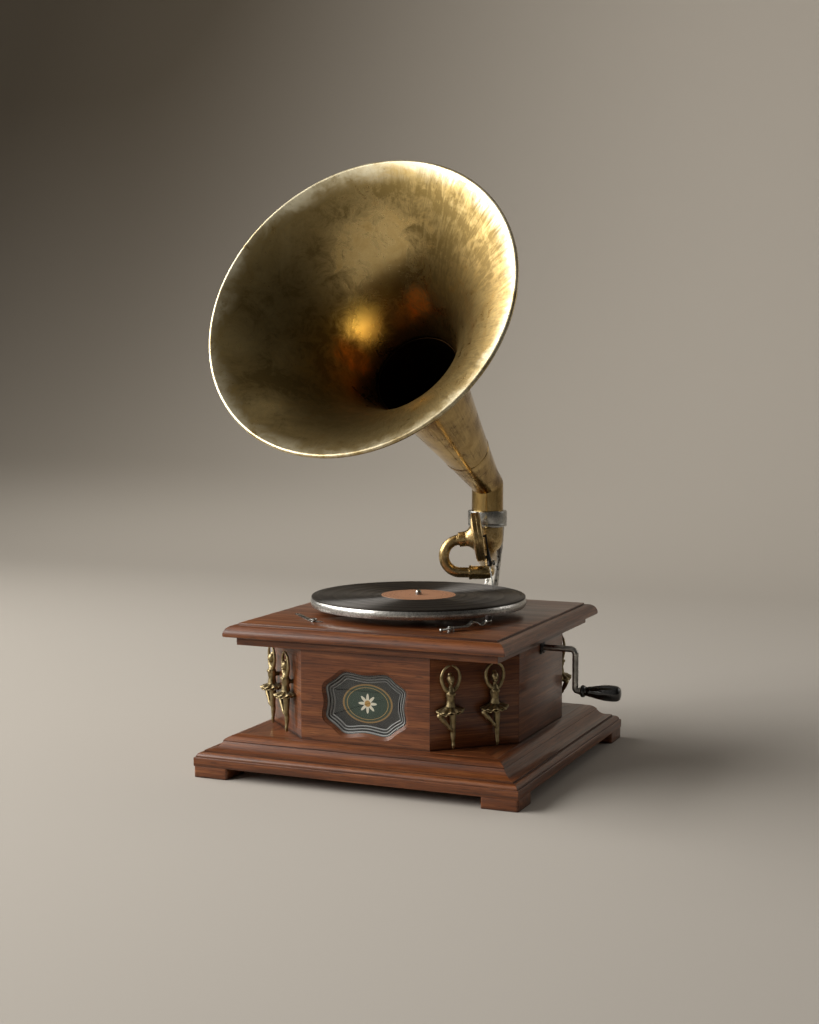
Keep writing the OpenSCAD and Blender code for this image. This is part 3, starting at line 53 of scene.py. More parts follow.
# Heights of the case, from the floor up
FOOT_H = 12.5
PLINTH_H = 32.5
BOX_Z = FOOT_H + PLINTH_H
PANEL_H = 101.0
FRIEZE_Z = BOX_Z + PANEL_H
FRIEZE_H = 9.7
TOP_Z = FRIEZE_Z + FRIEZE_H
TOP_T = 15.1
DECK_Z = TOP_Z + TOP_T
PLATTER_LIFT, PLATTER_T, RECORD_T = 9.2, 9.7, 2.0
PLATTER_Z = DECK_Z + PLATTER_LIFT
RECORD_Z = PLATTER_Z + PLATTER_T
RECORD_TOP = RECORD_Z + RECORD_T
ARM_LIFT, COLLAR_LIFT, MITRE_LIFT, SHAFT_DROP = 20.3, 40.5, 33.6, 6.3
ARM_Z = RECORD_TOP + ARM_LIFT
COLLAR_Z = ARM_Z + COLLAR_LIFT
COLLAR_H = 20.5
SOCKET_FLOOR = 9.5
MITRE_Z = COLLAR_Z + COLLAR_H + MITRE_LIFT
SHAFT_Z = FRIEZE_Z - SHAFT_DROP

# Plan of the case
PLINTH_HALF = 192.0
PLINTH_INNER = 106.0
BOX_HALF = 152.0
PANEL_T = 11.0
INNER_HALF = BOX_HALF - PANEL_T
FLAT_HALF = 77.0
INNER_FLAT = BOX_HALF + FLAT_HALF - PANEL_T * math.sqrt(2) - INNER_HALF
FRIEZE_HALF = 155.8
FRIEZE_INNER = 104.8
TOP_HALF = 167.7
PIVOT_Y = 230.0

# Horn
HORN_TURN = 2.7
NECK_TILT = 33.9
BELL_TILT = 27.5
NECK_L = 248.0
THROAT_R = 52.6
FLARE_START = 12.0
FLARE_END = 60.7
FLARE_R = 262.9
JOINT_L = 82.0
JOINT_R = 29.0
HORN_TUBE_R = 20.3
HORN_WALL = 1.2
ROLL_R = 2.6
SEAM_R = 0.9

# Tone arm and soundbox
ARM_TURN = 20.8
ARM_L = 165.0
ROOT_R = 12.0
ARM_MID_R = 9.4
ARM_END_R = 7.9
CUP_R = 20.4
CUP_L = 33.0
GOOSE_R = 6.2
GOOSE_BEND = 19.7
GOOSE_REACH = 33.2
SOUNDBOX_TILT = 8.5
NEEDLE_LEAN = 16.0


def turn(axis, degrees):
    return Matrix.Rotation(math.radians(degrees), 4, axis)


def shift(x, y, z):
    return Matrix.Translation((x, y, z))


def sin(degrees):
    return math.sin(math.radians(degrees))


def cos(degrees):
    return math.cos(math.radians(degrees))


def tan(degrees):
    return math.tan(math.radians(degrees))


ON_HORN = shift(0, PIVOT_Y, MITRE_Z) @ turn("Z", -HORN_TURN)
ON_NECK = ON_HORN @ turn("X", 90 - NECK_TILT)
ON_BELL = (ON_HORN @ shift(0, -NECK_L * cos(NECK_TILT), NECK_L * sin(NECK_TILT))
           @ turn("X", 90 - BELL_TILT))
ON_ARM = shift(0, PIVOT_Y, ARM_Z) @ turn("Z", ARM_TURN)
ON_GOOSE = ON_ARM @ shift(0, -ARM_L, 0)
ON_GOOSE_END = (ON_GOOSE @ shift(-GOOSE_REACH - GOOSE_BEND * sin(SOUNDBOX_TILT), 0,
                                 GOOSE_BEND * (1 + cos(SOUNDBOX_TILT)))
                @ turn("Y", 90 - SOUNDBOX_TILT))
ON_SOUNDBOX = ON_GOOSE_END @ turn("Z", -NEEDLE_LEAN)


# Outlines and paths

def filleted(points, radius, steps=4, closed=False):
    """The points of a polyline with each corner rounded to an arc."""
    points = [Vector(p).to_3d() for p in points]
    count = len(points)
    rounded = []
    for i, p in enumerate(points):
        back, ahead = points[i - 1] - p, points[(i + 1) % count] - p
        if not closed and i in (0, count - 1):
            rounded.append(p)
            continue
        half = back.angle(ahead) / 2
        if half > math.radians(84):
            rounded.append(p)
            continue
        reach = min(radius / math.tan(half), 0.48 * back.length, 0.48 * ahead.length)
        u, v = back.normalized(), ahead.normalized()
        centre = p + (u + v).normalized() * reach / math.cos(half)
        start = p + u * reach - centre
        axis = start.cross(p + v * reach - centre).normalized()
        sweep = math.pi - 2 * half
        rounded += [centre + Quaternion(axis, sweep * k / steps) @ start
                    for k in range(steps + 1)]
    return rounded


def bezier(a, b, c, d, steps):
    a, b, c, d = (Vector(p) for p in (a, b, c, d))
    places = [k / steps for k in range(steps + 1)]
    return [a * (1 - t) ** 3 + b * 3 * t * (1 - t) ** 2 + c * 3 * t * t * (1 - t) + d * t ** 3
            for t in places]


def arc(centre, radius, start, end, steps):
    angles = [start + (end - start) * k / steps for k in range(steps + 1)]
    return [Vector((centre[0] + radius * cos(a), centre[1] + radius * sin(a))) for a in angles]


def offset_loop(loop, distance):
    """A flat closed loop moved outwards, for a loop that runs anticlockwise."""
    moved = []
    for i, p in enumerate(loop):
        before = (p - loop[i - 1]).to_2d().normalized()
        after = (loop[(i + 1) % len(loop)] - p).to_2d().normalized()
        out_a, out_b = Vector((before.y, -before.x)), Vector((after.y, -after.x))
        middle = (out_a + out_b).normalized()
        moved.append(p + (middle * distance / max(0.4, middle.dot(out_a))).to_3d())
    return moved


# Meshes as lists of points and faces

def skin(rings, wrap=False):
    """Faces between rings of points. A ring of one point closes an end; wrap joins the ends."""
    points, spans = [], []
    for ring in rings:
        spans.append(range(len(points), len(points) + len(ring)))
        points += ring
    faces = []
    pairs = list(zip(spans, spans[1:])) + ([(spans[-1], spans[0])] if wrap else [])
    for low, high in pairs:
        count = max(len(low), len(high))
        for i in range(count):
            j = (i + 1) % count
            corners = (low[i % len(low)], low[j % len(low)],
                       high[j % len(high)], high[i % len(high)])
            face = tuple(dict.fromkeys(corners))
            if len(face) > 2:
                faces.append(face)
    return points, faces


def filled(rings):
    """Rings skinned, with one flat face over the first and one over the last."""
    points, faces = skin(rings)
    count = len(rings[0])
    last = range(len(points) - count, len(points))
    return points, faces + [tuple(reversed(range(count))), tuple(last)]


def capped(rings):
    """Rings skinned, with a fan to the middle of the first and of the last."""
    first, last = ([sum(ring, Vector()) / len(ring)] for ring in (rings[0], rings[-1]))
    return skin([first, *rings, last])


def rectangle(width, height):
    """A rectangle about the origin, anticlockwise."""
    x, y = width / 2, height / 2
    return [(-x, -y), (x, -y), (x, y), (-x, y)]


def bar(radius, low, high):
    """The profile of a plain round bar."""
    return [(0, low), (radius, low), (radius, high), (0, high)]


def circle_points(radius, height, segments):
    if radius < 1e-6:
        return [Vector((0, 0, height))]
    return [Vector((radius * cos(360 * i / segments), radius * sin(360 * i / segments), height))
            for i in range(segments)]


def turned(profile, segments=96, wrap=False):
    """A profile of (radius, height) turned round the z axis."""
    return skin([circle_points(p[0], p[1], segments) for p in profile], wrap)


def tube(path, radius, segments, round_ends=False):
    """A round tube along a path, with one radius or one for each point."""
    path = [Vector(p) for p in path]
    radii = list(radius) if hasattr(radius, "__len__") else [radius] * len(path)
    if round_ends:
        cap = (25, 50, 75)
        first = (path[0] - path[1]).normalized()
        last = (path[-1] - path[-2]).normalized()
        r0, r1 = radii[0], radii[-1]
        path = ([path[0] + first * r0 * sin(a) for a in reversed(cap)] + path
                + [path[-1] + last * r1 * sin(a) for a in cap])
        radii = [r0 * cos(a) for a in reversed(cap)] + radii + [r1 * cos(a) for a in cap]
    end = len(path) - 1
    ahead = [(path[min(i + 1, end)] - path[max(i - 1, 0)]).normalized() for i in range(end + 1)]
    side = ahead[0].orthogonal().normalized()
    rings = []
    for p, r, along in zip(path, radii, ahead):
        side = (side - along * side.dot(along)).normalized()
        other = along.cross(side)
        rings.append([p + (side * cos(360 * i / segments) + other * sin(360 * i / segments)) * r
                      for i in range(segments)])
    return skin([[path[0]], *rings, [path[-1]]])


def plate(outline, low, high, holes=()):
    """A flat plate between two heights, with holes that run clockwise."""
    bm = bmesh.new()
    for loop in [outline, *holes]:
        below = [bm.verts.new((p[0], p[1], low)) for p in loop]
        above = [bm.verts.new((p[0], p[1], high)) for p in loop]
        for i in range(len(loop)):
            j = (i + 1) % len(loop)
            bm.faces.new((below[i], below[j], above[j], above[i]))
    for height in (low, high):
        edges = [e for e in bm.edges if all(abs(v.co.z - height) < 1e-3 for v in e.verts)]
        bmesh.ops.triangle_fill(bm, edges=edges, use_beauty=True, use_dissolve=False)
    bmesh.ops.recalc_face_normals(bm, faces=bm.faces)
    return unpacked(bm)


def unpacked(bm):
    bm.verts.index_update()
    points = [v.co.copy() for v in bm.verts]
    faces = [tuple(v.index for v in f.verts) for f in bm.faces]
    bm.free()
    return points, faces


def bevelled(shape, width, segments=2, degrees=25):
    """The shape with its sharp edges eased."""
    bm = bmesh.new()
    verts = [bm.verts.new(p) for p in shape[0]]
    for f in shape[1]:
        bm.faces.new([verts[i] for i in f])
    bm.normal_update()
    edges = [e for e in bm.edges if e.calc_face_angle(0) > math.radians(degrees)]
    bmesh.ops.bevel(bm, geom=edges, offset=width, offset_type="OFFSET", segments=segments,
                    profile=0.5, affect="EDGES", clamp_overlap=True)
    return unpacked(bm)


class Form:
    """What a piece is made of: points in millimetres, faces, and pattern coordinates."""

    def __init__(self):
        self.points, self.faces, self.pattern = [], [], []

    def add(self, shape, place=None, pattern=None):
        points, faces = shape
        start = len(self.points)
        place = place or Matrix()
        self.points += [place @ p.to_3d() for p in points]
        self.faces += [tuple(i + start for i in f) for f in faces]
        self.pattern += pattern or [p.to_3d() * MM for p in points]
        return self

    def board(self, shape, along, seed):
        """Adds a board whose grain runs along a direction. The seed picks its part of the log."""
        side = Vector((0, 0, 1)).cross(along).normalized()
        start = Vector((0.71 * seed, 0.37 * seed, 0.53 * seed))
        return self.add(shape, None, [Vector((p.dot(along), p.dot(side), p.z)) * MM + start
                                      for p in shape[0]])

    def spun(self, shape, place=None):
        """Adds a turned piece whose pattern runs round and along its axis."""
        def coordinates(p):
            flat = Vector((p.x, p.y, 0))
            flat = flat.normalized() if flat.length > 1e-6 else flat
            return Vector((flat.x, flat.y, p.z * AXIAL_STEP))
        return self.add(shape, place, [coordinates(p) for p in shape[0]])


# Finishes

def hexed(code):
    """Linear colour of an sRGB hex code."""
    parts = [int(code[i:i + 2], 16) / 255 for i in (1, 3, 5)]
    linear = [c / 12.92 if c <= 0.04045 else ((c + 0.055) / 1.055) ** 2.4 for c in parts]
    return (*linear, 1.0)


class Tree:
    """Short calls that build a node tree."""

    def __init__(self, tree):
        self.tree = tree

    def feed(self, socket, value):
        if isinstance(value, bpy.types.NodeSocket):
            self.tree.links.new(value, socket)
        elif value is not None:
            socket.default_value = value

    def add(self, kind, inputs=None, **settings):
        node = self.tree.nodes.new(kind)
        for key, value in settings.items():
            setattr(node, key, value)
        for key, value in (inputs or {}).items():
            self.feed(node.inputs[key], value)
        return node

    def math(self, operation, *values):
        node = self.add("ShaderNodeMath", operation=operation)
        for socket, value in zip(node.inputs, values):
            self.feed(socket, value)
        return node.outputs[0]

    def plus(self, total, *others):
        for value in others:
            total = self.math("ADD", total, value)
        return total

    def minus(self, a, b):
        return self.math("SUBTRACT", a, b)

    def times(self, a, b):
        return self.math("MULTIPLY", a, b)

    def vector(self, x, y, z):
        return self.add("ShaderNodeCombineXYZ", {0: x, 1: y, 2: z}).outputs[0]

    def parts(self, vector):
        return self.add("ShaderNodeSeparateXYZ", {0: vector}).outputs


class Finish(Tree):
    """A material with a Principled surface."""

    def __init__(self, name, **surface):
        self.material = bpy.data.materials.new(name)
        self.material.use_nodes = True
        super().__init__(self.material.node_tree)
        self.surface = self.tree.nodes["Principled BSDF"]
        self.set(**surface)

    def set(self, **surface):
        for key, value in surface.items():
            self.feed(self.surface.inputs[key.replace("_", " ")], value)

    def mapped(self, vector, scale, location):
        inputs = {"Vector": vector, "Scale": scale, "Location": location}
        return self.add("ShaderNodeMapping", inputs).outputs[0]

    def pattern(self, scale=(1, 1, 1), location=(0, 0, 0)):
        found = self.add("ShaderNodeAttribute", attribute_name="pattern").outputs["Vector"]
        return self.mapped(found, scale, location)

    def place(self, scale=(1, 1, 1), location=(0, 0, 0)):
        return self.mapped(self.add("ShaderNodeTexCoord").outputs["Object"], scale, location)

    def length(self, vector):
        return self.add("ShaderNodeVectorMath", {0: vector}, operation="LENGTH").outputs["Value"]

    def noise(self, vector, scale, detail=4.0, roughness=0.55, distortion=0.0):
        inputs = {"Vector": vector, "Scale": scale, "Detail": detail, "Roughness": roughness,
                  "Distortion": distortion}
        return self.add("ShaderNodeTexNoise", inputs).outputs["Fac"]

    def cells(self, scale):
        inputs = {"Vector": self.place(), "Scale": scale}
        return self.add("ShaderNodeTexVoronoi", inputs).outputs["Distance"]

    def ramp(self, fac, *stops):
        node = self.add("ShaderNodeValToRGB", {"Fac": fac})
        elements = node.color_ramp.elements
        while len(elements) < len(stops):
            elements.new(0.5)
        for element, (position, colour) in zip(elements, stops):
            element.position, element.color = position, hexed(colour)
        return node.outputs["Color"]

    def level(self, value, low, high, to_low=0.0, to_high=1.0, kind="LINEAR"):
        inputs = {"Value": value, "From Min": low, "From Max": high, "To Min": to_low,
                  "To Max": to_high}
        return self.add("ShaderNodeMapRange", inputs, interpolation_type=kind).outputs[0]

    def mix(self, fac, a, b):
        node = self.add("ShaderNodeMix", data_type="RGBA")
        for socket, value in zip((node.inputs[0], node.inputs[6], node.inputs[7]), (fac, a, b)):
            self.feed(socket, hexed(value) if isinstance(value, str) else value)
        return node.outputs[2]

    def bump(self, height, strength, depth_mm, normal=None):
        return self.add("ShaderNodeBump", {"Height": height, "Strength": strength,
                                           "Distance": depth_mm * MM, "Normal": normal}).outputs[0]

    def clear_where(self, share):
        """Lets rays straight through where the share is 1."""
        clear = self.add("ShaderNodeBsdfTransparent").outputs[0]
        shown = self.add("ShaderNodeMixShader", {0: share, 1: self.surface.outputs[0], 2: clear})
        self.feed(self.tree.nodes["Material Output"].inputs["Surface"], shown.outputs[0])


def wood_finish(name, source, dark, middle, light):
    """Varnished walnut: soft figure, fine fibres, short pores, a satin coat, and painted shade in
    the crevices.
    """
    f = Finish(name, Coat_Weight=0.4, Coat_Roughness=0.2, Specular_IOR_Level=0.3)
    figure = f.noise(source(f, (1.5, 26, 26)), 2.0, 4, 0.55, 0.6)
    fibres = f.noise(source(f, (7, 210, 210)), 1.0, 5, 0.65, 0.35)
    streaks = f.noise(source(f, (14, 620, 620)), 1.0, 4, 0.65)
    pores = f.level(f.noise(source(f, (60, 900, 900)), 1.0, 2, 0.5), 0.56, 0.66)
    grain = f.plus(f.times(figure, 0.3), f.times(fibres, 0.4), f.times(streaks, 0.3))
    colour = f.ramp(grain, (0.36, dark), (0.5, middle), (0.64, light))
    colour = f.mix(f.times(pores, 0.55), colour, dark)
    # Painted shade: an ambient occlusion mask darkens the wood to near-black in crevices and
    # corners.
    corner = f.add("ShaderNodeAmbientOcclusion", {"Distance": 0.005}, samples=4).outputs["AO"]
    colour = f.mix(f.level(corner, 0.3, 0.85), "#150a05", colour)
    relief = f.minus(f.times(streaks, 0.4), pores)
    f.set(Base_Color=colour, Roughness=f.level(figure, 0.3, 0.7, 0.48, 0.34),
          Normal=f.bump(relief, 0.3, 0.1))
    return f.material


def painted_reflection_patch(f, angle, height, wide, tall, ragged):
    """A patch of painted reflection on a turned sheet, 1 in its middle and 0 outside, with a ragged
    edge.
    """
    local = f.pattern((1 / wide, 1 / wide, 1 / tall),
                      (-cos(angle) / wide, -sin(angle) / wide, -height / tall))
    return f.level(f.plus(f.length(local), ragged), 1.3, 0.5, kind="SMOOTHSTEP")


def bell_brass_finish():
    """The bell's sheet: smoke, a pale rim that is a painted highlight, patches of painted
    reflection, and streaks on the right half.
    """
    f = Finish("bell_brass", Metallic=1.0)
    cloud = f.noise(f.place(), 9.0, 5, 0.62, 1.2)
    smoke = f.noise(f.place(), 42.0, 10, 0.78, 0.7)
    fibre = f.noise(f.pattern((15, 15, 3.2)), 1.0, 7, 0.76, 2.0)
    specks = f.level(f.noise(f.place(), 330.0, 3, 0.6), 0.64, 0.72)
    across, _, along = f.parts(f.pattern())
    ragged = f.level(smoke, 0.25, 0.75, -0.5, 0.5)
    uneven = f.plus(f.times(ragged, 0.14), f.level(cloud, 0.25, 0.75, -0.09, 0.09))
    # Painted highlight: the band along the lip is paled to cream and cleared of tarnish, standing
    # in for the bright band of light on the rolled edge.
    rim = f.level(f.plus(along, uneven), 1.645, 1.8, kind="SMOOTHSTEP")
    deep = f.level(along, 1.0, 0.1, kind="SMOOTHSTEP")
    throat = f.level(along, 0.07, 0.02)
    # Painted reflection: a lighter tan patch, a pale gold patch and two orange glints stand for
    # reflections of lamps in the bell, with less tarnish in them.
    painted_tan_reflection = painted_reflection_patch(f, 104, 1.0, 0.52, 0.55, ragged)
    painted_gold_reflection = painted_reflection_patch(f, 143, 0.52, 0.4, 0.34, f.times(ragged, 0.8))
    painted_orange_glints = f.math("MAXIMUM", painted_reflection_patch(f, 178, 0.42, 0.26, 0.3, ragged),
                   painted_reflection_patch(f, 84, 0.55, 0.24, 0.2, ragged))
    streaky = f.times(f.level(fibre, 0, 1, -0.4, 0.4), f.level(across, -0.4, 0.6))
    soot = f.plus(f.level(cloud, 0, 1, -0.4, 0.4), f.level(smoke, 0, 1, -0.42, 0.42), streaky,
                  f.level(across, -0.9, 0.9, 0.07, 0.1))
    for mask, share in ((rim, 0.25), (painted_tan_reflection, 0.3), (deep, 0.08)):
        soot = f.minus(soot, f.times(mask, share))
    tarnish = f.times(f.level(soot, -0.17, 0.2), f.level(painted_gold_reflection, 0, 1, 1.0, 0.15))
    colour = f.ramp(smoke, (0.3, "#a98d54"), (0.7, "#d6c08a"))
    for mask, tint in ((rim, "#ede4c6"), (f.times(deep, 0.7), "#c48e48"),
                       (f.times(painted_orange_glints, 0.85), "#f0963a"), (painted_gold_reflection, "#ffeaa2"),
                       (f.times(specks, 0.5), "#3d2c12"), (f.times(tarnish, 0.93), "#625029"),
                       (throat, "#1d1207")):
        colour = f.mix(mask, colour, tint)
    rough = f.plus(f.level(tarnish, 0, 1, 0.2, 0.4), f.times(smoke, 0.08),
                   f.times(f.math("MAXIMUM", rim, painted_orange_glints), 0.16))
    dents = f.noise(f.place(), 9.0, 2, 0.4)
    f.set(Base_Color=colour, Roughness=rough,
          Normal=f.bump(fibre, 0.08, 0.3, f.bump(dents, 0.25, 2.0)))
    return f.material


def neck_brass_finish():
    """The neck and elbow: rubbed brass with brown smears, painted near-black as shade on the
    inside.
    """
    f = Finish("neck_brass", Metallic=1.0)
    cloud = f.noise(f.place(), 18.0, 6, 0.62, 0.8)
    smear = f.noise(f.place((1, 1, 0.5)), 60.0, 6, 0.68, 0.4)
    streak = f.noise(f.pattern((20, 20, 1.2)), 1.0, 5, 0.65, 0.4)
    soot = f.plus(f.times(cloud, 0.5), f.times(smear, 0.3), f.times(streak, 0.2))
    tarnish = f.level(soot, 0.47, 0.6)
    metal = f.ramp(smear, (0.3, "#a08350"), (0.7, "#d2b67a"))
    # Painted shade: the inside of the tube is coloured near-black where shade falls.
    inside = f.math("LESS_THAN", f.parts(f.pattern())["Z"], -1.0)
    colour = f.mix(inside, f.mix(f.times(tarnish, 0.8), metal, "#563a19"), "#241708")
    f.set(Base_Color=colour, Normal=f.bump(smear, 0.12, 0.15),
          Roughness=f.plus(f.level(tarnish, 0, 1, 0.16, 0.36), f.times(inside, 0.3)))
    return f.material


def arm_brass_finish():
    f = Finish("arm_brass", Metallic=1.0)
    cloud = f.noise(f.place(), 38.0, 6, 0.65, 0.4)
    fine = f.noise(f.place(), 420.0, 3, 0.6)
    tarnish = f.times(f.level(cloud, 0.45, 0.72), 0.65)
    metal = f.ramp(fine, (0.35, "#a78c5a"), (0.65, "#d2b988"))
    f.set(Base_Color=f.mix(tarnish, metal, "#594526"), Normal=f.bump(fine, 0.12, 0.05),
          Roughness=f.level(cloud, 0.3, 0.75, 0.18, 0.42))
    return f.material


def figure_brass_finish():
    """Cast brass, darker in the hollows."""
    f = Finish("figure_brass", Metallic=1.0)
    hollow = f.level(f.add("ShaderNodeNewGeometry").outputs["Pointiness"], 0.44, 0.53)
    cloud = f.noise(f.place(), 160.0, 5, 0.6)
    metal = f.ramp(cloud, (0.32, "#7f6e4b"), (0.68, "#bfae86"))
    f.set(Base_Color=f.mix(hollow, "#2b2213", metal),
          Roughness=f.level(cloud, 0.3, 0.7, 0.32, 0.52),
          Normal=f.bump(f.noise(f.place(), 900.0, 3), 0.2, 0.1))
    return f.material


def pitted_finish():
    """Silver-grey casting with open pores."""
    f = Finish("pitted_casting", Metallic=1.0)
    large = f.level(f.noise(f.place(), 150.0, 4, 0.6), 0.36, 0.44)
    open_pores = f.times(f.level(f.cells(330.0), 0.12, 0.3), large)
    cloud = f.noise(f.place(), 60.0, 5)
    metal = f.ramp(cloud, (0.3, "#918f89"), (0.7, "#d0cdc5"))
    f.set(Base_Color=f.mix(open_pores, "#4d4b46", metal), Normal=f.bump(open_pores, 0.6, 0.5),
          Roughness=f.level(cloud, 0.3, 0.7, 0.6, 0.42))
    return f.material


def clouded_finish(name, cloud, low, high, gloss, relief, bump, stretch=1, **surface):
    """A finish whose colour and gloss follow one cloud, over a fine relief."""
    f = Finish(name, **surface)
    clouds = f.noise(f.place(), *cloud)
    fine = f.noise(f.place((1, 1, stretch)), *relief)
    f.set(Base_Color=f.ramp(clouds, low, high), Roughness=f.level(clouds, 0.3, 0.7, *gloss),
          Normal=f.bump(fine, *bump))
    return f.material


def dark_finish(name, low, high, roughness, coat):
    """Black iron, black lacquer, rubber and leather differ in colour and gloss."""
    return clouded_finish(name, (120.0, 5, 0.6), (0.3, low), (0.72, high),
                          (roughness + 0.1, roughness - 0.08), (800.0, 4, 0.6),
                          (0.2, 0.08 * (1 - coat)), Coat_Weight=coat, Coat_Roughness=0.12)


def shellac_finish():
    """Black record whose fine grooves spread the light into sectors."""
    f = Finish("shellac", Metallic=0.5, Roughness=0.62, Anisotropic=1.0, Anisotropic_Rotation=0.25)
    radius = f.length(f.place((1, 1, 0)))
    groove = f.math("SINE", f.times(radius, 7000.0))
    bands = f.noise(f.vector(radius, 0.0, 0.0), 190.0, 5, 0.7)
    dust = f.level(f.noise(f.place(), 300.0, 4, 0.65), 0.5, 0.8)
    colour = f.ramp(bands, (0.3, "#2b2825"), (0.7, "#423d38"))
    f.set(Base_Color=f.mix(f.times(dust, 0.3), colour, "#5d564d"),
          Tangent=f.add("ShaderNodeTangent", direction_type="RADIAL", axis="Z").outputs[0],
          Normal=f.bump(f.plus(f.times(groove, 0.5), bands), 0.12, 0.05))
    return f.material


def label_finish():
    """Plain printed paper: rings and a band of small leaves, with no words."""
    f = Finish("label_paper", Roughness=0.62)
    spot = f.place((1, 1, 0))
    radius, (x, y, _) = f.length(spot), f.parts(spot)
    fibre = f.noise(f.place(), 500.0, 4, 0.6)
    paper = f.ramp(fibre, (0.3, "#97694b"), (0.7, "#ab7c5c"))
    leaves, leaf_r, leaf_size, leaf_line, ring_line = 24.0, 0.0335, 0.0012, 0.0007, 0.00035
    wave = f.times(f.math("SINE", f.times(f.math("ARCTAN2", y, x), leaves)), leaf_size)
    lines = f.math("COMPARE", f.plus(radius, wave), leaf_r, leaf_line)
    for ring in (0.0105, 0.0285, 0.0385, 0.0412):
        lines = f.math("MAXIMUM", lines, f.math("COMPARE", radius, ring, ring_line))
    f.set(Base_Color=f.mix(f.times(lines, 0.55), paper, "#5d3119"), Normal=f.bump(fibre, 0.2, 0.05))
    return f.material


def felt_finish():
    f = Finish("felt", Roughness=0.95, Sheen_Weight=0.3)
    fibre = f.noise(f.place(), 700.0, 5, 0.7)
    f.set(Base_Color=f.ramp(fibre, (0.3, "#16150f"), (0.7, "#38352b")),
          Normal=f.bump(fibre, 0.6, 0.3))
    return f.material


def glass_finish():
    """Clear glass with ground steps, which lets the lamps through to the card behind it."""
    f = Finish("window_glass", IOR=1.3, Base_Color=hexed("#f2f4f2"))
    smear = f.noise(f.place(), 40.0, 4, 0.6)
    facing = f.parts(f.add("ShaderNodeNewGeometry").outputs["True Normal"])["Y"]
    ground = f.level(f.math("ABSOLUTE", facing), 0.95, 0.85)
    f.set(Transmission_Weight=f.level(ground, 0, 1, 1.0, 0.7),
          Roughness=f.plus(f.level(smear, 0.4, 0.8, 0.0, 0.02), f.times(ground, 0.2)))
    rays = f.add("ShaderNodeLightPath").outputs
    f.clear_where(f.math("MAXIMUM", rays["Is Shadow Ray"], rays["Is Diffuse Ray"]))
    return f.material


def card_finish():
    """Charcoal card with a green oval, gold rings and a rosette of eight petals."""
    f = Finish("printed_card", Roughness=0.55)
    middle_z, oval_w, oval_h = 0.0893, 0.03, 0.0215
    petals, petal_r, petal_swing, heart_r = 8.0, 0.0078, 0.0032, 0.0036
    x, _, z = f.parts(f.place((1, 1, 1), (0, 0, -middle_z)))

    def reach(a, b):
        return f.math("SQRT", f.plus(f.math("POWER", a, 2.0), f.math("POWER", b, 2.0)))

    oval = reach(f.math("DIVIDE", x, oval_w), f.math("DIVIDE", z, oval_h))
    distance = reach(x, z)
    turned_by = f.times(f.math("ARCTAN2", z, x), petals)
    petal = f.plus(f.times(f.math("COSINE", turned_by), petal_swing), petal_r)
    fibre = f.noise(f.place(), 420.0, 4, 0.6)
    colour = f.ramp(fibre, (0.3, "#121211"), (0.7, "#181817"))
    green = f.ramp(fibre, (0.3, "#132a1d"), (0.7, "#183323"))
    from_ring = f.math("ABSOLUTE", f.minus(oval, 0.82))
    for value, limit, tint in ((oval, 1.0, "#8b6a36"), (oval, 0.93, green),
                               (from_ring, 0.012, "#a98748"), (distance, petal, "#d8d2c0"),
                               (distance, heart_r, "#a9803c")):
        colour = f.mix(f.math("LESS_THAN", value, limit), colour, tint)
    f.set(Base_Color=colour, Normal=f.bump(fibre, 0.15, 0.05))
    return f.material


def mica_finish():
    f = Finish("mica", Specular_IOR_Level=0.7)
    flake = f.cells(90.0)
    cloud = f.noise(f.place(), 140.0, 5, 0.6)
    sheet = f.ramp(cloud, (0.3, "#a89a78"), (0.7, "#d3c8ab"))
    f.set(Base_Color=f.mix(f.level(flake, 0.0, 0.6), sheet, "#bfae86"),
          Roughness=f.level(cloud, 0.3, 0.7, 0.32, 0.15), Normal=f.bump(flake, 0.15, 0.08))
    return f.material


FINISHES = {
    "walnut": wood_finish("walnut", Finish.pattern, "#331a0c", "#6b3a1c", "#955d35"),
    "inner_wood": wood_finish("inner_wood", Finish.place, "#2a1a12", "#5d3d2a", "#7d5a40"),
    "glass": glass_finish(), "card": card_finish(), "figure_brass": figure_brass_finish(),
    "cast_silver": pitted_finish(), "felt": felt_finish(), "shellac": shellac_finish(),
    "paper": label_finish(), "horn_brass": bell_brass_finish(), "neck_brass": neck_brass_finish(),
    "arm_brass": arm_brass_finish(), "mica": mica_finish(),
}
for metal, *look in (
        ("nickel", (70.0, 6, 0.65), (0.3, "#9a9b98"), (0.75, "#bfbeb8"), (0.34, 0.16),
         (160.0, 3, 0.6), (0.1, 0.05), 14),
        ("hammered_iron", (420.0, 4, 0.6), (0.3, "#8b8985"), (0.72, "#d6d4cf"), (0.4, 0.24),
         (1100.0, 3, 0.6), (0.2, 0.12)),
        ("steel", (55.0, 6, 0.65), (0.32, "#6b6965"), (0.7, "#bdbab4"), (0.42, 0.22),
         (600.0, 3, 0.6), (0.12, 0.05)),
        ("gear_brass", (80.0, 5, 0.6), (0.3, "#a5843f"), (0.7, "#d4b267"), (0.36, 0.2),
         (700.0, 3), (0.15, 0.05))):
    FINISHES[metal] = clouded_finish(metal, *look, Metallic=1.0)
for stuff, *look in (("black_iron", "#0d0b0a", "#241f1b", 0.45, 0.1),
                     ("black_grip", "#050505", "#100f0e", 0.22, 0.6),
                     ("rubber", "#0c0c0c", "#1c1b1a", 0.8, 0.0),
                     ("leather", "#140d09", "#2a1c14", 0.7, 0.0)):
    FINISHES[stuff] = dark_finish(stuff, *look)


# Pieces

SHARP_ANGLE = 38


def placed(name, data):
    """A new object at the origin of the scene."""
    obj = bpy.data.objects.new(name, data)
    bpy.context.scene.collection.objects.link(obj)
    return obj


def mesh_of(name, points, faces):
    """A mesh in metres, from points in millimetres."""
    mesh = bpy.data.meshes.new(name)
    mesh.from_pydata([p.to_3d() * MM for p in points], [], faces)
    return mesh


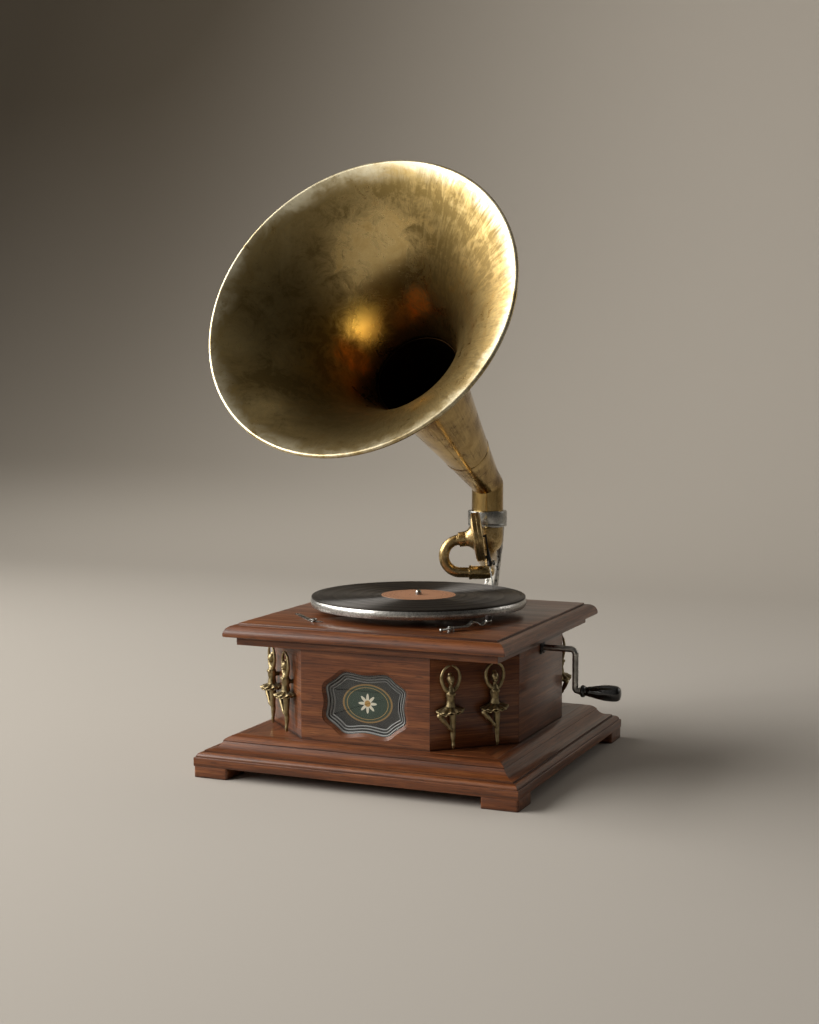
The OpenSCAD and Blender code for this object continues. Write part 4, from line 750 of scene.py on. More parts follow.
def store_pattern(mesh, pattern):
    flat = [c for value in pattern for c in value]
    mesh.attributes.new("pattern", "FLOAT_VECTOR", "POINT").data.foreach_set("vector", flat)


def settle(obj, body, slot, nodes, finish=None):
    """Gives a finished piece its finish, its body and the solids that it stands for."""
    if not obj.data.materials:
        obj.data.materials.append(FINISHES[finish or slot])
    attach(obj, body)
    if nodes:
        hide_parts(*nodes)
    return obj


def piece(name, form, body, slot, nodes=(), finish=None, sharp=SHARP_ANGLE):
    mesh = mesh_of(name, form.points, form.faces)
    store_pattern(mesh, form.pattern)
    mesh.shade_smooth()
    mesh.set_sharp_from_angle(angle=math.radians(sharp))
    return settle(placed(name, mesh), body, slot, nodes, finish)


def turned_piece(name, profile, segments, body, slot, node, place=None, wrap=True,
                 sharp=SHARP_ANGLE):
    """A piece that is one turned profile."""
    form = Form().add(turned(profile, segments, wrap), place)
    return piece(name, form, body, slot, [node], sharp=sharp)


def evaluated_mesh(obj):
    graph = bpy.context.evaluated_depsgraph_get()
    return bpy.data.meshes.new_from_object(obj.evaluated_get(graph), depsgraph=graph)


def grown(name, tree, place, body, slot, nodes=(), **sizes):
    """Runs a node tree on an empty mesh, keeps its result as a plain mesh and settles it."""
    obj = placed(name, bpy.data.meshes.new(name + "_start"))
    maker = obj.modifiers.new("maker", "NODES")
    maker.node_group = tree
    for socket in tree.interface.items_tree:
        if socket.in_out == "INPUT" and socket.name in sizes:
            maker[socket.identifier] = sizes[socket.name]
    mesh = evaluated_mesh(obj)
    obj.modifiers.clear()
    obj.data = mesh
    mesh.name = name
    mesh.transform(Matrix.Scale(MM, 4) @ place @ Matrix.Scale(1 / MM, 4))
    mesh.set_sharp_from_angle(angle=math.radians(SHARP_ANGLE))
    mesh.materials.clear()
    return settle(obj, body, slot, nodes)


def maker_tree(name, **sizes):
    """A new node tree with named inputs, and its group input and output."""
    tree = bpy.data.node_groups.new(name, "GeometryNodeTree")
    for label, kind in sizes.items():
        tree.interface.new_socket(name=label, in_out="INPUT", socket_type=kind)
    tree.interface.new_socket(name="Geometry", in_out="OUTPUT", socket_type="NodeSocketGeometry")
    t = Tree(tree)
    return t, t.add("NodeGroupInput").outputs, t.add("NodeGroupOutput").inputs


def finish_tree(t, shape, out, finish):
    """Ends a tree with real geometry, smooth faces and its finish."""
    real = t.add("GeometryNodeRealizeInstances", {"Geometry": shape}).outputs[0]
    smooth = t.add("GeometryNodeSetShadeSmooth", {"Geometry": real}).outputs[0]
    dressed = t.add("GeometryNodeSetMaterial", {"Geometry": smooth, "Material": FINISHES[finish]})
    t.feed(out[0], dressed.outputs[0])
    return t.tree


def copies_on(t, points, size, out, finish, rotation=None):
    """Ends a tree with a copy of its small form on each point."""
    form = t.add("GeometryNodeObjectInfo", {"Object": size["Form"]}).outputs["Geometry"]
    copies = t.add("GeometryNodeInstanceOnPoints", {"Points": points, "Instance": form,
                                                    "Rotation": rotation})
    return finish_tree(t, copies.outputs[0], out, finish)


def ring_tree(name, finish):
    """A small form repeated round an axis."""
    t, size, out = maker_tree(name, Form="NodeSocketObject", Count="NodeSocketInt",
                              Radius="NodeSocketFloat")
    ring = t.add("GeometryNodeMeshCircle", {"Vertices": size["Count"], "Radius": size["Radius"]})
    step = t.math("DIVIDE", math.tau, size["Count"])
    angle = t.times(t.add("GeometryNodeInputIndex").outputs[0], step)
    return copies_on(t, ring.outputs[0], size, out, finish, t.vector(0.0, 0.0, angle))


def row_tree(name, finish):
    """A small form repeated along the x axis."""
    t, size, out = maker_tree(name, Form="NodeSocketObject", Count="NodeSocketInt",
                              Step="NodeSocketFloat")
    line = t.add("GeometryNodeMeshLine", {"Count": size["Count"],
                                          "Offset": t.vector(size["Step"], 0.0, 0.0)})
    return copies_on(t, line.outputs[0], size, out, finish)


def repeated(name, tree, shape, place, body, slot, nodes=(), **sizes):
    """Grows a piece from copies of one small shape."""
    one = placed(name + "_form", mesh_of(name + "_form", *shape))
    obj = grown(name, tree, place, body, slot, nodes, Form=one, **sizes)
    bpy.data.objects.remove(one)
    return obj


# Case

X = Vector((1, 0, 0))
MITRE_GAP = 0.12


def mitred_rails(form, profile, base, seed):
    """Four rails of one profile of (distance from the middle, height), mitred at the corners."""
    for i in range(4):
        place = turn("Z", 90 * i)
        ends = [[place @ Vector((s * (p[0] - MITRE_GAP), -p[0], base + p[1])) for p in profile]
                for s in (-1, 1)]
        points, faces = filled(ends)
        form.board((points, [tuple(reversed(f)) for f in faces]), place.to_3x3() @ X, seed + i)


def make_plinth():
    bead_x, bead_r, fascia, ledge = 185.0, 5.0, 10.0, BOX_HALF + 3.3
    cove_x, cove_z, fillet_z, dip = 183.0, 17.0, 15.0, 2.6
    quirk, swell, step, settle_in, steps = 0.56, 1.3, 1.1, 0.4, 10
    cove_low = Vector((cove_x, cove_z))
    chord = Vector((ledge, PLINTH_H)) - cove_low
    away = Vector((chord.y, -chord.x)).normalized()

    def on_slope(t):
        """Hollow up to the quirk, and a flat swell above it."""
        if t < quirk:
            return -dip * sin(180 * t / quirk) - settle_in * t
        share = (t - quirk) / (1 - quirk)
        return step - settle_in + swell * sin(180 * share) - step * share

    places = [quirk * k / steps for k in range(steps)] + [quirk - 0.001]
    places += [quirk + (1 - quirk) * k / steps for k in range(steps + 1)]
    profile = filleted([(PLINTH_INNER, 0), (PLINTH_HALF, 0), (PLINTH_HALF, fascia),
                        (bead_x + bead_r, fascia)], 0.8, 3)
    profile += arc((bead_x, fascia), bead_r, 6, 90, 12) + [(cove_x, fillet_z)]
    profile += [cove_low + chord * t + away * on_slope(t) for t in places]
    profile += [(ledge - 0.6, PLINTH_H), (PLINTH_INNER, PLINTH_H)]
    rails = Form()
    mitred_rails(rails, profile, FOOT_H, 1)
    piece("plinth_mouldings", rails, "case", "walnut", ["plinth_rails"])
    feet = Form()
    foot_w, inset, round_r = 42.0, 0.2, 3.0
    outline = filleted(rectangle(foot_w, foot_w), round_r, 6, True)
    place = PLINTH_HALF - inset - foot_w / 2
    for i, (x, y) in enumerate(((-1, -1), (1, -1), (1, 1), (-1, 1))):
        points, faces = bevelled(plate(outline, 0, FOOT_H), 1.0, 3, 60)
        feet.board(([shift(x * place, y * place, 0) @ p for p in points], faces), X, 9 + i)
    piece("corner_feet", feet, "case", "walnut", ["bracket_feet"])


WINDOW_W, WINDOW_H = 98.0, 70.0
WINDOW_CUT_W, WINDOW_CUT_H = 23.0, 17.0
SCALLOP, CORNER_SCALLOP = 4.0, 1.6
WINDOW_Z = BOX_Z + PANEL_H / 2 - 6.2
REBATE_W, REBATE_D = 4.0, 5.0
SEAT_D = PANEL_T - REBATE_D


def window_loop(grow):
    """The shaped opening, anticlockwise from the front: four scalloped sides and cut corners."""
    half_w, half_h = WINDOW_W / 2, WINDOW_H / 2
    flat_w, flat_h = half_w - WINDOW_CUT_W, half_h - WINDOW_CUT_H
    corners = [(-flat_w, -half_h), (flat_w, -half_h), (half_w, -flat_h), (half_w, flat_h),
               (flat_w, half_h), (-flat_w, half_h), (-half_w, flat_h), (-half_w, -flat_h)]
    steps, rounds = 12, 5
    loop = []
    for i, a in enumerate(corners):
        a, b = Vector(a), Vector(corners[(i + 1) % len(corners)])
        inward = -((a + b) / 2).normalized()
        dip = SCALLOP if i % 2 == 0 else CORNER_SCALLOP
        loop += [a.lerp(b, k / steps) + inward * dip * sin(180 * k / steps) ** 2
                 for k in range(steps)]
    for _ in range(rounds):
        loop = [(loop[i - 1] + 2 * p + loop[(i + 1) % len(loop)]) / 4 for i, p in enumerate(loop)]
    loop = [p.to_3d() for p in loop]
    return offset_loop(loop, grow) if grow else loop


def window_ring(grow, depth):
    """The window's outline at a depth behind the front panel's face."""
    return [Vector((p.x, -BOX_HALF + depth, WINDOW_Z + p.y)) for p in window_loop(grow)]


def make_panels():
    bm = bmesh.new()

    def loop_of(points):
        verts = [bm.verts.new(p) for p in points]
        return verts, [bm.edges.new((verts[i - 1], verts[i])) for i in range(len(verts))]

    def border(half, y):
        return loop_of([(-half, y, BOX_Z), (half, y, BOX_Z), (half, y, FRIEZE_Z),
                        (-half, y, FRIEZE_Z)])

    def wall(low, high):
        for i in range(len(low)):
            bm.faces.new((low[i - 1], low[i], high[i], high[i - 1]))

    beads, bead_w, bead_h, reach = 3, 1.5, 1.25, 4.5
    bead = ((0, 0), (0.5, 0.06), (0.9, 0.25), (1.15, 0.6), (1.25, 1.1))
    moulding = [(reach - bead_w * k - p, bead_h * k + q) for k in range(beads) for p, q in bead]
    moulding += [(0, SEAT_D), (REBATE_W, SEAT_D), (REBATE_W, PANEL_T)]
    loops = [loop_of(window_ring(g, d)) for g, d in moulding]
    for (low, _), (high, _) in zip(loops, loops[1:]):
        wall(low, high)
    outer, back = border(FLAT_HALF, -BOX_HALF), border(INNER_FLAT, -INNER_HALF)
    wall(outer[0], back[0])
    for edge_of, opening in ((outer, loops[0]), (back, loops[-1])):
        bmesh.ops.triangle_fill(bm, edges=edge_of[1] + opening[1], use_beauty=True)
    bmesh.ops.recalc_face_normals(bm, faces=bm.faces)
    front = Form()
    front.board(unpacked(bm), X, 21)
    piece("window_panel", front, "case", "walnut", ["front_panel"], sharp=32)

    plan = [(-FLAT_HALF, -BOX_HALF), (FLAT_HALF, -BOX_HALF), (INNER_FLAT, -INNER_HALF),
            (-INNER_FLAT, -INNER_HALF)]
    cant = [(FLAT_HALF, -BOX_HALF), (BOX_HALF, -FLAT_HALF), (INNER_HALF, -INNER_FLAT),
            (INNER_FLAT, -INNER_HALF)]
    aslant = Vector((1, 1, 0)).normalized()
    edge = 0.7
    for name, node, outline, turns, along in (
            ("rear_panel", "back_panel", plan, (180,), X),
            ("flank_panels", "side_panels", plan, (90, 270), X),
            ("canted_panels", "corner_panels", cant, (0, 90, 180, 270), aslant)):
        form = Form()
        for i, angle in enumerate(turns):
            place = turn("Z", angle)
            points, faces = bevelled(plate(outline, BOX_Z, FRIEZE_Z), edge, 2)
            form.board(([place @ p for p in points], faces), place.to_3x3() @ along,
                       30 + len(name) + 3 * i)
        piece(name, form, "case", "walnut", [node])


def make_top():
    rails = Form()
    profile = filleted([(FRIEZE_INNER, 0), (FRIEZE_HALF, 0), (FRIEZE_HALF, FRIEZE_H),
                        (FRIEZE_INNER, FRIEZE_H)], 0.8, 3, True)
    mitred_rails(rails, profile, FRIEZE_Z, 50)
    piece("frieze", rails, "case", "walnut", ["frieze_rails"])
    nose_r, nose_rise, field_inset, tip, hole_r = 8.0, 5.0, 5.2, 2.2, 10
    field, nose_top = TOP_HALF - nose_r - field_inset, nose_rise + nose_r
    round_x, round_z = nose_r + 2.6, nose_top - tip
    profile = [(field, 0), (TOP_HALF - 1.4, 0), (TOP_HALF - 0.4, 0.5)]
    profile += [(TOP_HALF - round_x + round_x * cos(a), tip + round_z * sin(a))
                for a in range(0, 91, 5)]
    profile += [(field + 0.4, nose_top), (field, nose_top - 0.5)]
    nosing = Form()
    mitred_rails(nosing, profile, TOP_Z, 60)
    hole = [(hole_r * cos(-a), hole_r * sin(-a)) for a in range(0, 360, 10)]
    board = plate(rectangle(2 * field, 2 * field), TOP_Z, DECK_Z, [hole])
    nosing.board(bevelled(board, 0.6, 2, 50), X, 66)
    piece("top_with_nosing", nosing, "case", "walnut", ["top_board"])


def make_window():
    lip_h, glass_t, gap, lip_w, card_gap = 3.2, 3.0, 0.1, 1.0, 0.25
    step_w, step_h, slope_w, steps = 3.0, 1.0, 1.0, 3
    face, back = SEAT_D - lip_h, SEAT_D + glass_t
    rings = [window_ring(REBATE_W - gap, back), window_ring(REBATE_W - gap, SEAT_D),
             window_ring(-gap, SEAT_D), window_ring(-gap, face)]
    for k in range(steps):
        inset = -lip_w - step_w * k
        rings += [window_ring(inset, face + step_h * k),
                  window_ring(inset - slope_w, face + step_h * (k + 1))]
    piece("stepped_glass", Form().add(filled(rings)), "case", "glass", ["window_glass"], sharp=20)
    rings = [window_ring(REBATE_W - gap, depth) for depth in (PANEL_T, back + card_gap)]
    piece("medallion_card", Form().add(filled(rings)), "case", "card", ["window_card"])


# Dancers

STAND_OUT = 7.5
FIGURE_H = 92.8


def ball(centre, size):
    """An egg with three half sizes."""
    profile = [(cos(a), sin(a)) for a in range(-75, 90, 15)]
    points, faces = turned([(0, -1), *profile, (0, 1)], 20)
    return [Vector([c + v * s for c, v, s in zip(centre, p, size)]) for p in points], faces


def ruffle(height, radius, depth, lobes, phase, drop):
    """A gathered skirt layer with a waved edge."""
    count = lobes * 8
    tilt, flutter, lift_wave, top_rise = 0.09, 0.035, 0.8, 3.2
    rings = []
    for share, lift in ((0.2, 3.0), (0.45, 1.8), (0.75, 0.7), (1.0, -0.6), (1.0, -1.8),
                        (0.7, -1.0), (0.2, 0)):
        ring = []
        for i in range(count):
            a = 360 * i / count
            wave = sin(lobes * a + phase)
            r = radius * share * (1 + flutter * wave * share)
            z = height + lift + (drop - tilt * r * cos(a)) * share + lift_wave * wave * share ** 2
            ring.append(Vector((r * cos(a), STAND_OUT + r * depth * sin(a), z)))
        rings.append(ring)
    bottom, top = ([Vector((0, STAND_OUT, z))] for z in (height, height + top_rise))
    return skin([bottom, *reversed(rings), top])


def dancer_shapes():
    """A dancer on one toe, one knee out, arms in an oval: rough closed forms that overlap."""
    y = STAND_OUT
    limbs = [
        ([(-2.4, y, 45), (-2.7, y, 34), (-2.8, y, 24)], [4.1, 3.7, 2.9]),
        ([(-2.8, y, 24), (-3.0, y - 0.4, 17), (-3.2, y, 8)], [2.7, 2.9, 1.9]),
        ([(-3.2, y, 8), (-3.4, y + 0.5, 4.5), (-3.4, y + 0.2, 1.6)], [1.9, 2.0, 1.3]),
        ([(2.4, y, 45), (8.5, y + 1.4, 41), (13.6, y + 2, 37.5)], [4.0, 3.6, 2.9]),
        ([(13.6, y + 2, 37.5), (8.6, y + 2, 31.4), (3.4, y + 2.2, 25.6)], [2.7, 2.8, 1.9]),
        ([(3.4, y + 2.2, 25.6), (1.6, y + 2.4, 23.4), (-0.6, y + 2.2, 20.6)], [1.9, 2.0, 1.1]),
        ([(0, y, 47), (0, y, 53), (0, y + 0.3, 60), (0, y, 64.4)], [5.2, 4.2, 5.2, 3.8]),
        ([(-4.6, y, 64.4), (4.6, y, 64.4)], [2.5, 2.5]),
        ([(0, y, 65), (0, y + 0.4, 71)], [2.3, 2.1]),
        ([(0, 0.0, 57), (0, y, 57)], [2.5, 2.5]),
    ]
    for s in (-1, 1):
        upper = bezier((s * 5.0, y, 64.5), (s * 9.6, y, 70), (s * 12.6, y, 78),
                       (s * 9.0, y + 0.4, 85), 8)
        lower = bezier((s * 9.0, y + 0.4, 85), (s * 7.0, y + 0.6, 88.6), (s * 4, y + 0.8, 90.2),
                       (s * 1.5, y + 1, 91.0), 6)
        limbs += [(upper, [2.4, 2.3, 2.1, 1.95, 2.0, 1.95, 1.8, 1.6, 1.5]),
                  (lower, [1.5, 1.5, 1.4, 1.35, 1.4, 1.2, 0.9])]
    shapes = [tube(path, radii, 16, True) for path, radii in limbs]
    shapes += [ball(centre, size) for centre, size in (
        ((-2.3, y + 3.7, 60.4), (2.1, 1.9, 2.1)), ((2.3, y + 3.7, 60.4), (2.1, 1.9, 2.1)),
        ((0, y + 0.6, 75.4), (3.9, 4.2, 5.0)), ((0, y - 0.2, 76.4), (4.3, 4.5, 4.7)),
        ((0, y - 1.6, 81.2), (2.4, 2.4, 2.0)), ((0, y + 4.8, 74.8), (0.7, 0.8, 1.0)),
        ((0, y + 3.6, 71.8), (1.7, 1.5, 1.2)))]
    return shapes + [ruffle(44.8, 15.6, 0.86, 11, 0, -1.6), ruffle(43.0, 14.2, 0.86, 12, 60, -2.0)]


def dancer_mesh():
    """One dancer, cast into a single skin by a voxel remesh, thinned and rid of doubled faces."""
    form = Form()
    for shape in dancer_shapes():
        form.add(shape)
    obj = placed("dancer_rough", mesh_of("dancer_rough", form.points, form.faces))
    cast = obj.modifiers.new("cast", "REMESH")
    cast.mode, cast.voxel_size = "VOXEL", 0.00048
    soften = obj.modifiers.new("soften", "SMOOTH")
    soften.factor, soften.iterations = 0.5, 2
    obj.modifiers.new("thin", "DECIMATE").ratio = 0.4
    result = evaluated_mesh(obj)
    bpy.data.objects.remove(obj)
    bm = bmesh.new()
    bm.from_mesh(result)
    bpy.data.meshes.remove(result)
    doubled = [f for f in bm.faces if len({g for e in f.edges for g in e.link_faces}) == 2]
    bmesh.ops.delete(bm, geom=doubled, context="FACES")
    points, faces = unpacked(bm)
    headroom, lift = 8, 0.05 * MM
    scale = (PANEL_H - headroom) / FIGURE_H / MM
    return [Vector((p.x, max(p.y, lift), p.z)) * scale for p in points], faces


def make_dancers():
    one = dancer_mesh()
    offset, side_shift, foot_gap = 26.0, 6.0, 2.0
    away = (BOX_HALF + FLAT_HALF) / math.sqrt(2)
    for name, node, turns in (("front_dancers", "dancers_front", (135, 225)),
                              ("rear_dancers", "dancers_back", (45, 315))):
        form = Form()
        for angle in turns:
            for s in (-1, 1):
                place = shift(s * offset + side_shift, away, BOX_Z + foot_gap)
                form.add(one, turn("Z", angle) @ place)
        piece(name, form, "case", "figure_brass", [node], sharp=180)


# Turntable

PLATTER_R = 126.0
RECORD_R = 125.0
LABEL_R = 43.5
SPINDLE_TIP_R = 3.6


def make_turntable():
    rim_w, web, mat_t, mat_edge, spindle_r, mat_hole_r = 5.0, 3.5, 1.0, 3.5, 5.0, 8
    mat_z = RECORD_Z - mat_t
    hub_z, hub_r, inner_r, mat_r = PLATTER_Z - 2, 12.0, PLATTER_R - rim_w, PLATTER_R - mat_edge
    crown, edge_z, steps, cell, dent = 0.9, 1.0, 14, 0.55, 0.24
    rise = [(PLATTER_R - crown * (2 * k / steps - 1) ** 2,
             PLATTER_Z + edge_z + (RECORD_Z - PLATTER_Z - 2 * edge_z) * k / steps)
            for k in range(steps + 1)]
    profile = [(spindle_r, hub_z), (hub_r, hub_z), (hub_r, mat_z - web), (inner_r, mat_z - web),
               (inner_r, PLATTER_Z), (PLATTER_R - 2, PLATTER_Z), (PLATTER_R - 1.3, PLATTER_Z + 0.3),
               *rise, (PLATTER_R - 1.3, RECORD_Z - 0.3), (PLATTER_R - 2, RECORD_Z),
               (mat_r, RECORD_Z), (mat_r, mat_z), (spindle_r, mat_z)]
    points, faces = turned(profile, 720, True)
    dented = []
    for p in points:
        if math.hypot(p.x, p.y) > PLATTER_R - crown - 0.01:
            near = noise.voronoi(p * cell)[0][0]
            p = p - Vector((p.x, p.y, 0)).normalized() * (dent - 0.25 * min(near, 0.95))
        dented.append(p)
    platter = Form().add((dented, faces))
    piece("hammered_platter", platter, "turntable", "hammered_iron", ["platter"])

    mat_top = RECORD_Z - 0.01
    mat = [(mat_hole_r, mat_z), (mat_r - 0.1, mat_z), (mat_r - 0.1, RECORD_Z - 0.3),
           (mat_r - 0.4, mat_top), (mat_hole_r, mat_top)]
    turned_piece("felt_mat", mat, 160, "turntable", "felt", "platter_mat")

    edge, hole, label_t = 0.5, SPINDLE_TIP_R + 0.08, 0.2
    groove_z, land_z = RECORD_TOP - 0.12, RECORD_TOP - 0.03
    profile = [(hole, RECORD_Z), (RECORD_R - edge, RECORD_Z), (RECORD_R, RECORD_Z + edge),
               (RECORD_R, RECORD_TOP - edge), (RECORD_R - 0.3, RECORD_TOP - 0.1),
               (RECORD_R - 1.4, RECORD_TOP), (RECORD_R - 3, groove_z)]
    for land in (119.5, 101.0, 84.0, 69.0, 56.0):
        profile += [(land, groove_z), (land - 0.3, land_z), (land - 1.1, land_z),
                    (land - 1.4, groove_z)]
    profile += [(LABEL_R + 6, groove_z), (LABEL_R + 4, RECORD_TOP), (hole, RECORD_TOP)]
    turned_piece("grooved_record", profile, 240, "turntable", "shellac", "record", sharp=60)
    profile = [(hole, RECORD_TOP), (LABEL_R, RECORD_TOP), (LABEL_R - 0.1, RECORD_TOP + label_t),
               (hole, RECORD_TOP + label_t)]
    turned_piece("paper_label", profile, 160, "turntable", "paper", "record_label")


# Horn

BELL_SIZES = {"Throat Radius": (THROAT_R - 1) * MM, "Flare Radius": FLARE_R * MM,
              "Flare Start": FLARE_START, "Flare End": FLARE_END, "Wall": HORN_WALL * MM,
              "Roll Radius": ROLL_R * MM, "Ring Radius": SEAM_R * MM}


def bell_tree():
    """The bell: an arc of sheet, inside and outside, turned round its axis, with rolled edges."""
    t, size, out = maker_tree("flared_bell", **dict.fromkeys(BELL_SIZES, "NodeSocketFloat"))
    sheet = t.add("GeometryNodeMeshGrid", {"Size X": 1.0, "Size Y": 1.0, "Vertices X": 241,
                                           "Vertices Y": 123}).outputs["Mesh"]
    spot = t.parts(t.add("GeometryNodeInputPosition").outputs[0])
    angle = t.times(spot["X"], -math.tau)
    start, end = (t.math("RADIANS", size[label]) for label in ("Flare Start", "Flare End"))
    flare_r = size["Flare Radius"]
    middle_r = t.plus(size["Throat Radius"], t.times(flare_r, t.math("COSINE", start)))
    middle_s = t.times(flare_r, t.math("SINE", start))

    def on_arc(flare, radius):
        around = t.minus(middle_r, t.times(radius, t.math("COSINE", flare)))
        return around, t.minus(t.times(radius, t.math("SINE", flare)), middle_s)

    rise = t.minus(1.0, t.math("ABSOLUTE", t.times(spot["Y"], 2.0)))
    outside = t.times(t.math("GREATER_THAN", spot["Y"], 0.002),
                      t.math("LESS_THAN", spot["Y"], 0.498))
    around, along = on_arc(t.plus(start, t.times(rise, t.minus(end, start))),
                           t.minus(flare_r, t.times(outside, size["Wall"])))
    place = t.vector(t.times(around, t.math("COSINE", angle)),
                     t.times(around, t.math("SINE", angle)), along)
    bent = t.add("GeometryNodeSetPosition", {"Geometry": sheet, "Position": place}).outputs[0]
    closed = t.add("GeometryNodeMergeByDistance", {"Geometry": bent, "Distance": 1e-6}).outputs[0]

    def circle(radius, resolution):
        return t.add("GeometryNodeCurvePrimitiveCircle", {"Resolution": resolution,
                                                          "Radius": radius}).outputs[0]

    def hoop(ring_radius, bead_radius, height):
        body = t.add("GeometryNodeCurveToMesh", {"Curve": circle(ring_radius, 240),
                                                 "Profile Curve": circle(bead_radius, 20)})
        lifted = t.add("GeometryNodeTransform", {"Geometry": body.outputs[0],
                                                 "Translation": t.vector(0.0, 0.0, height)})
        return lifted.outputs[0]

    lip_r, lip_s = on_arc(end, flare_r)
    roll = size["Roll Radius"]
    rim = hoop(t.plus(lip_r, t.times(roll, t.math("COSINE", end))), roll,
               t.minus(lip_s, t.times(roll, t.math("SINE", end))))
    ring = hoop(size["Throat Radius"], size["Ring Radius"], size["Ring Radius"])
    joined = t.add("GeometryNodeJoinGeometry")
    for part in (closed, rim, ring):
        t.tree.links.new(part, joined.inputs[0])
    return finish_tree(t, joined.outputs[0], out, "horn_brass")


def store_spun(obj, place):
    """Pattern coordinates round and along an axis, for a mesh that is already in place.

    Outside faces lie farther from the axis, which keeps the inside's patches off them.
    """
    back, outside_reach = place.inverted(), 3.0
    pattern = []
    for v in obj.data.vertices:
        p = back @ (v.co / MM)
        flat = Vector((p.x, p.y, 0)).normalized()
        reach = outside_reach if (back.to_3x3() @ v.normal).dot(flat) > 0 else 1.0
        pattern.append((flat.x * reach, flat.y * reach, p.z * AXIAL_STEP))
    store_pattern(obj.data, pattern)


SEAM_ANGLE = -78.0
SEGMENTS = 160
ANGLES = [360 * i / SEGMENTS for i in range(SEGMENTS)]


def on_cone(angle, radius, height):
    return Vector((radius * cos(angle), radius * sin(angle), height))


def mark_inside(form, rings):
    """Moves the pattern of the last rings below zero, which the finish paints near-black as shade
    on the inside.
    """
    for v in form.pattern[-rings * SEGMENTS:]:
        v.z = -5.0


def seam(start, end, radius_at):
    """A soldered seam along a cone."""
    heights = [start + (end - start) * k / 12 for k in range(13)]
    return tube([on_cone(SEAM_ANGLE, radius_at(s), s) for s in heights], SEAM_R, 10, True)


def make_neck():
    slope = (THROAT_R - JOINT_R) / (NECK_L - JOINT_L)
    base, lean = JOINT_R - slope * JOINT_L, NECK_TILT - BELL_TILT

    def neck_r(s):
        return JOINT_R + slope * (s - JOINT_L)

    def throat_cut(a):
        """Height at which the bell's plane cuts the cone."""
        return ((cos(lean) * NECK_L + sin(lean) * base * sin(a))
                / (cos(lean) - sin(lean) * slope * sin(a)))

    def neck_ring(wall, t):
        heights = [JOINT_L + (throat_cut(a) - JOINT_L) * t for a in ANGLES]
        return [on_cone(a, neck_r(s) - wall, s) for a, s in zip(ANGLES, heights)]

    steps = 14
    outer = [neck_ring(0, k / steps) for k in range(steps + 1)]
    inner = [neck_ring(HORN_WALL, t) for t in (1.0, 0.5, 0.0)]
    neck = Form().spun(skin(outer + inner, True), ON_NECK)
    mark_inside(neck, len(inner))
    bead = ((0.1, 0), (0.6, 0.2), (0.75, 0.8), (0.5, 1.5), (0.1, 1.9))
    lip = [(JOINT_R + p, JOINT_L + q) for p, q in bead]
    neck.spun(turned(lip, SEGMENTS, True), ON_NECK)
    neck.spun(seam(JOINT_L + 2.5, throat_cut(SEAM_ANGLE) - 4, lambda s: neck_r(s) - 0.1), ON_NECK)
    piece("tapered_neck", neck, "horn", "horn_brass", ["horn_neck"], "neck_brass")


def make_elbow():
    half, run, round_l, crease = (90 - NECK_TILT) / 2, 14.0, 20.0, 0.3
    low = COLLAR_Z + SOCKET_FLOOR + 0.1 - MITRE_Z
    to_horn = ON_HORN.inverted() @ ON_NECK

    def elbow_r(s):
        return HORN_TUBE_R + (JOINT_R - HORN_TUBE_R) * max(0, s - run) / (JOINT_L - run)

    def bend_ring(wall, t):
        """The mitre: a sharp crease on the inside of the bend, rounded over on the outside."""
        ring = []
        for a in ANGLES:
            r = HORN_TUBE_R - wall
            rise = tan(half) * r * sin(a)
            tip = on_cone(a, r, rise)
            reach = crease + round_l * max(0, sin(a)) ** 1.5
            after = to_horn @ on_cone(a, elbow_r(reach - rise) - wall, reach - rise)
            before = tip - Vector((0, 0, reach))
            ring.append((1 - t) ** 2 * before + 2 * t * (1 - t) * tip + t * t * after)
        return ring

    def slant_ring(wall, t):
        ring = []
        for a, p in zip(ANGLES, bend_ring(wall, 1.0)):
            s = (to_horn.inverted() @ p).z
            s += (JOINT_L - s) * t
            ring.append(to_horn @ on_cone(a, elbow_r(s) - wall, s))
        return ring

    def side(wall, slants):
        """The rings of one side of the sheet, from the foot up."""
        return ([circle_points(HORN_TUBE_R - wall, low, SEGMENTS)]
                + [bend_ring(wall, k / 8) for k in range(9)]
                + [slant_ring(wall, t) for t in slants])

    outer, inner = side(0, (0.1, 0.25, 0.5, 0.75, 1)), side(HORN_WALL, (0.25, 1))
    elbow = Form().spun(skin(outer + inner[::-1], True), ON_HORN)
    mark_inside(elbow, len(inner))
    elbow.spun(seam(tan(half) * HORN_TUBE_R + 1, JOINT_L - 1, lambda s: elbow_r(s) - 0.2), ON_NECK)
    piece("mitred_elbow", elbow, "horn", "horn_brass", ["horn_elbow"], "neck_brass")


def make_horn():
    bell = grown("flared_bell", bell_tree(), ON_BELL, "horn", "horn_brass", ["horn_bell"],
                 **BELL_SIZES)
    store_spun(bell, ON_BELL)
    make_neck()
    make_elbow()


# Bracket

FOOT_PLATE_W, FOOT_PLATE_H, FOOT_PLATE_T = 46.0, 62.0, 7.0
FOOT_PLATE_MID = FRIEZE_Z - 6 - FOOT_PLATE_H / 2
RUNNING_FIT = 0.08


def slotted_head(radius, height):
    """A domed screw head with a slot, which starts a little below its seat."""
    dome = [(radius * r, height * z) for r, z in ((0.93, 0.5), (0.72, 0.82), (0.4, 0.96), (0, 1))]
    points, faces = turned([(0, -1), (radius, -1), (radius, 0.3), *dome], 48)
    slot_half, floor = 0.55, height * 0.5

    def sunk(p):
        in_slot = abs(p.y) < slot_half and p.z > 0
        return Vector((p.x, p.y, min(p.z, floor))) if in_slot else p

    return [sunk(p) for p in points], faces


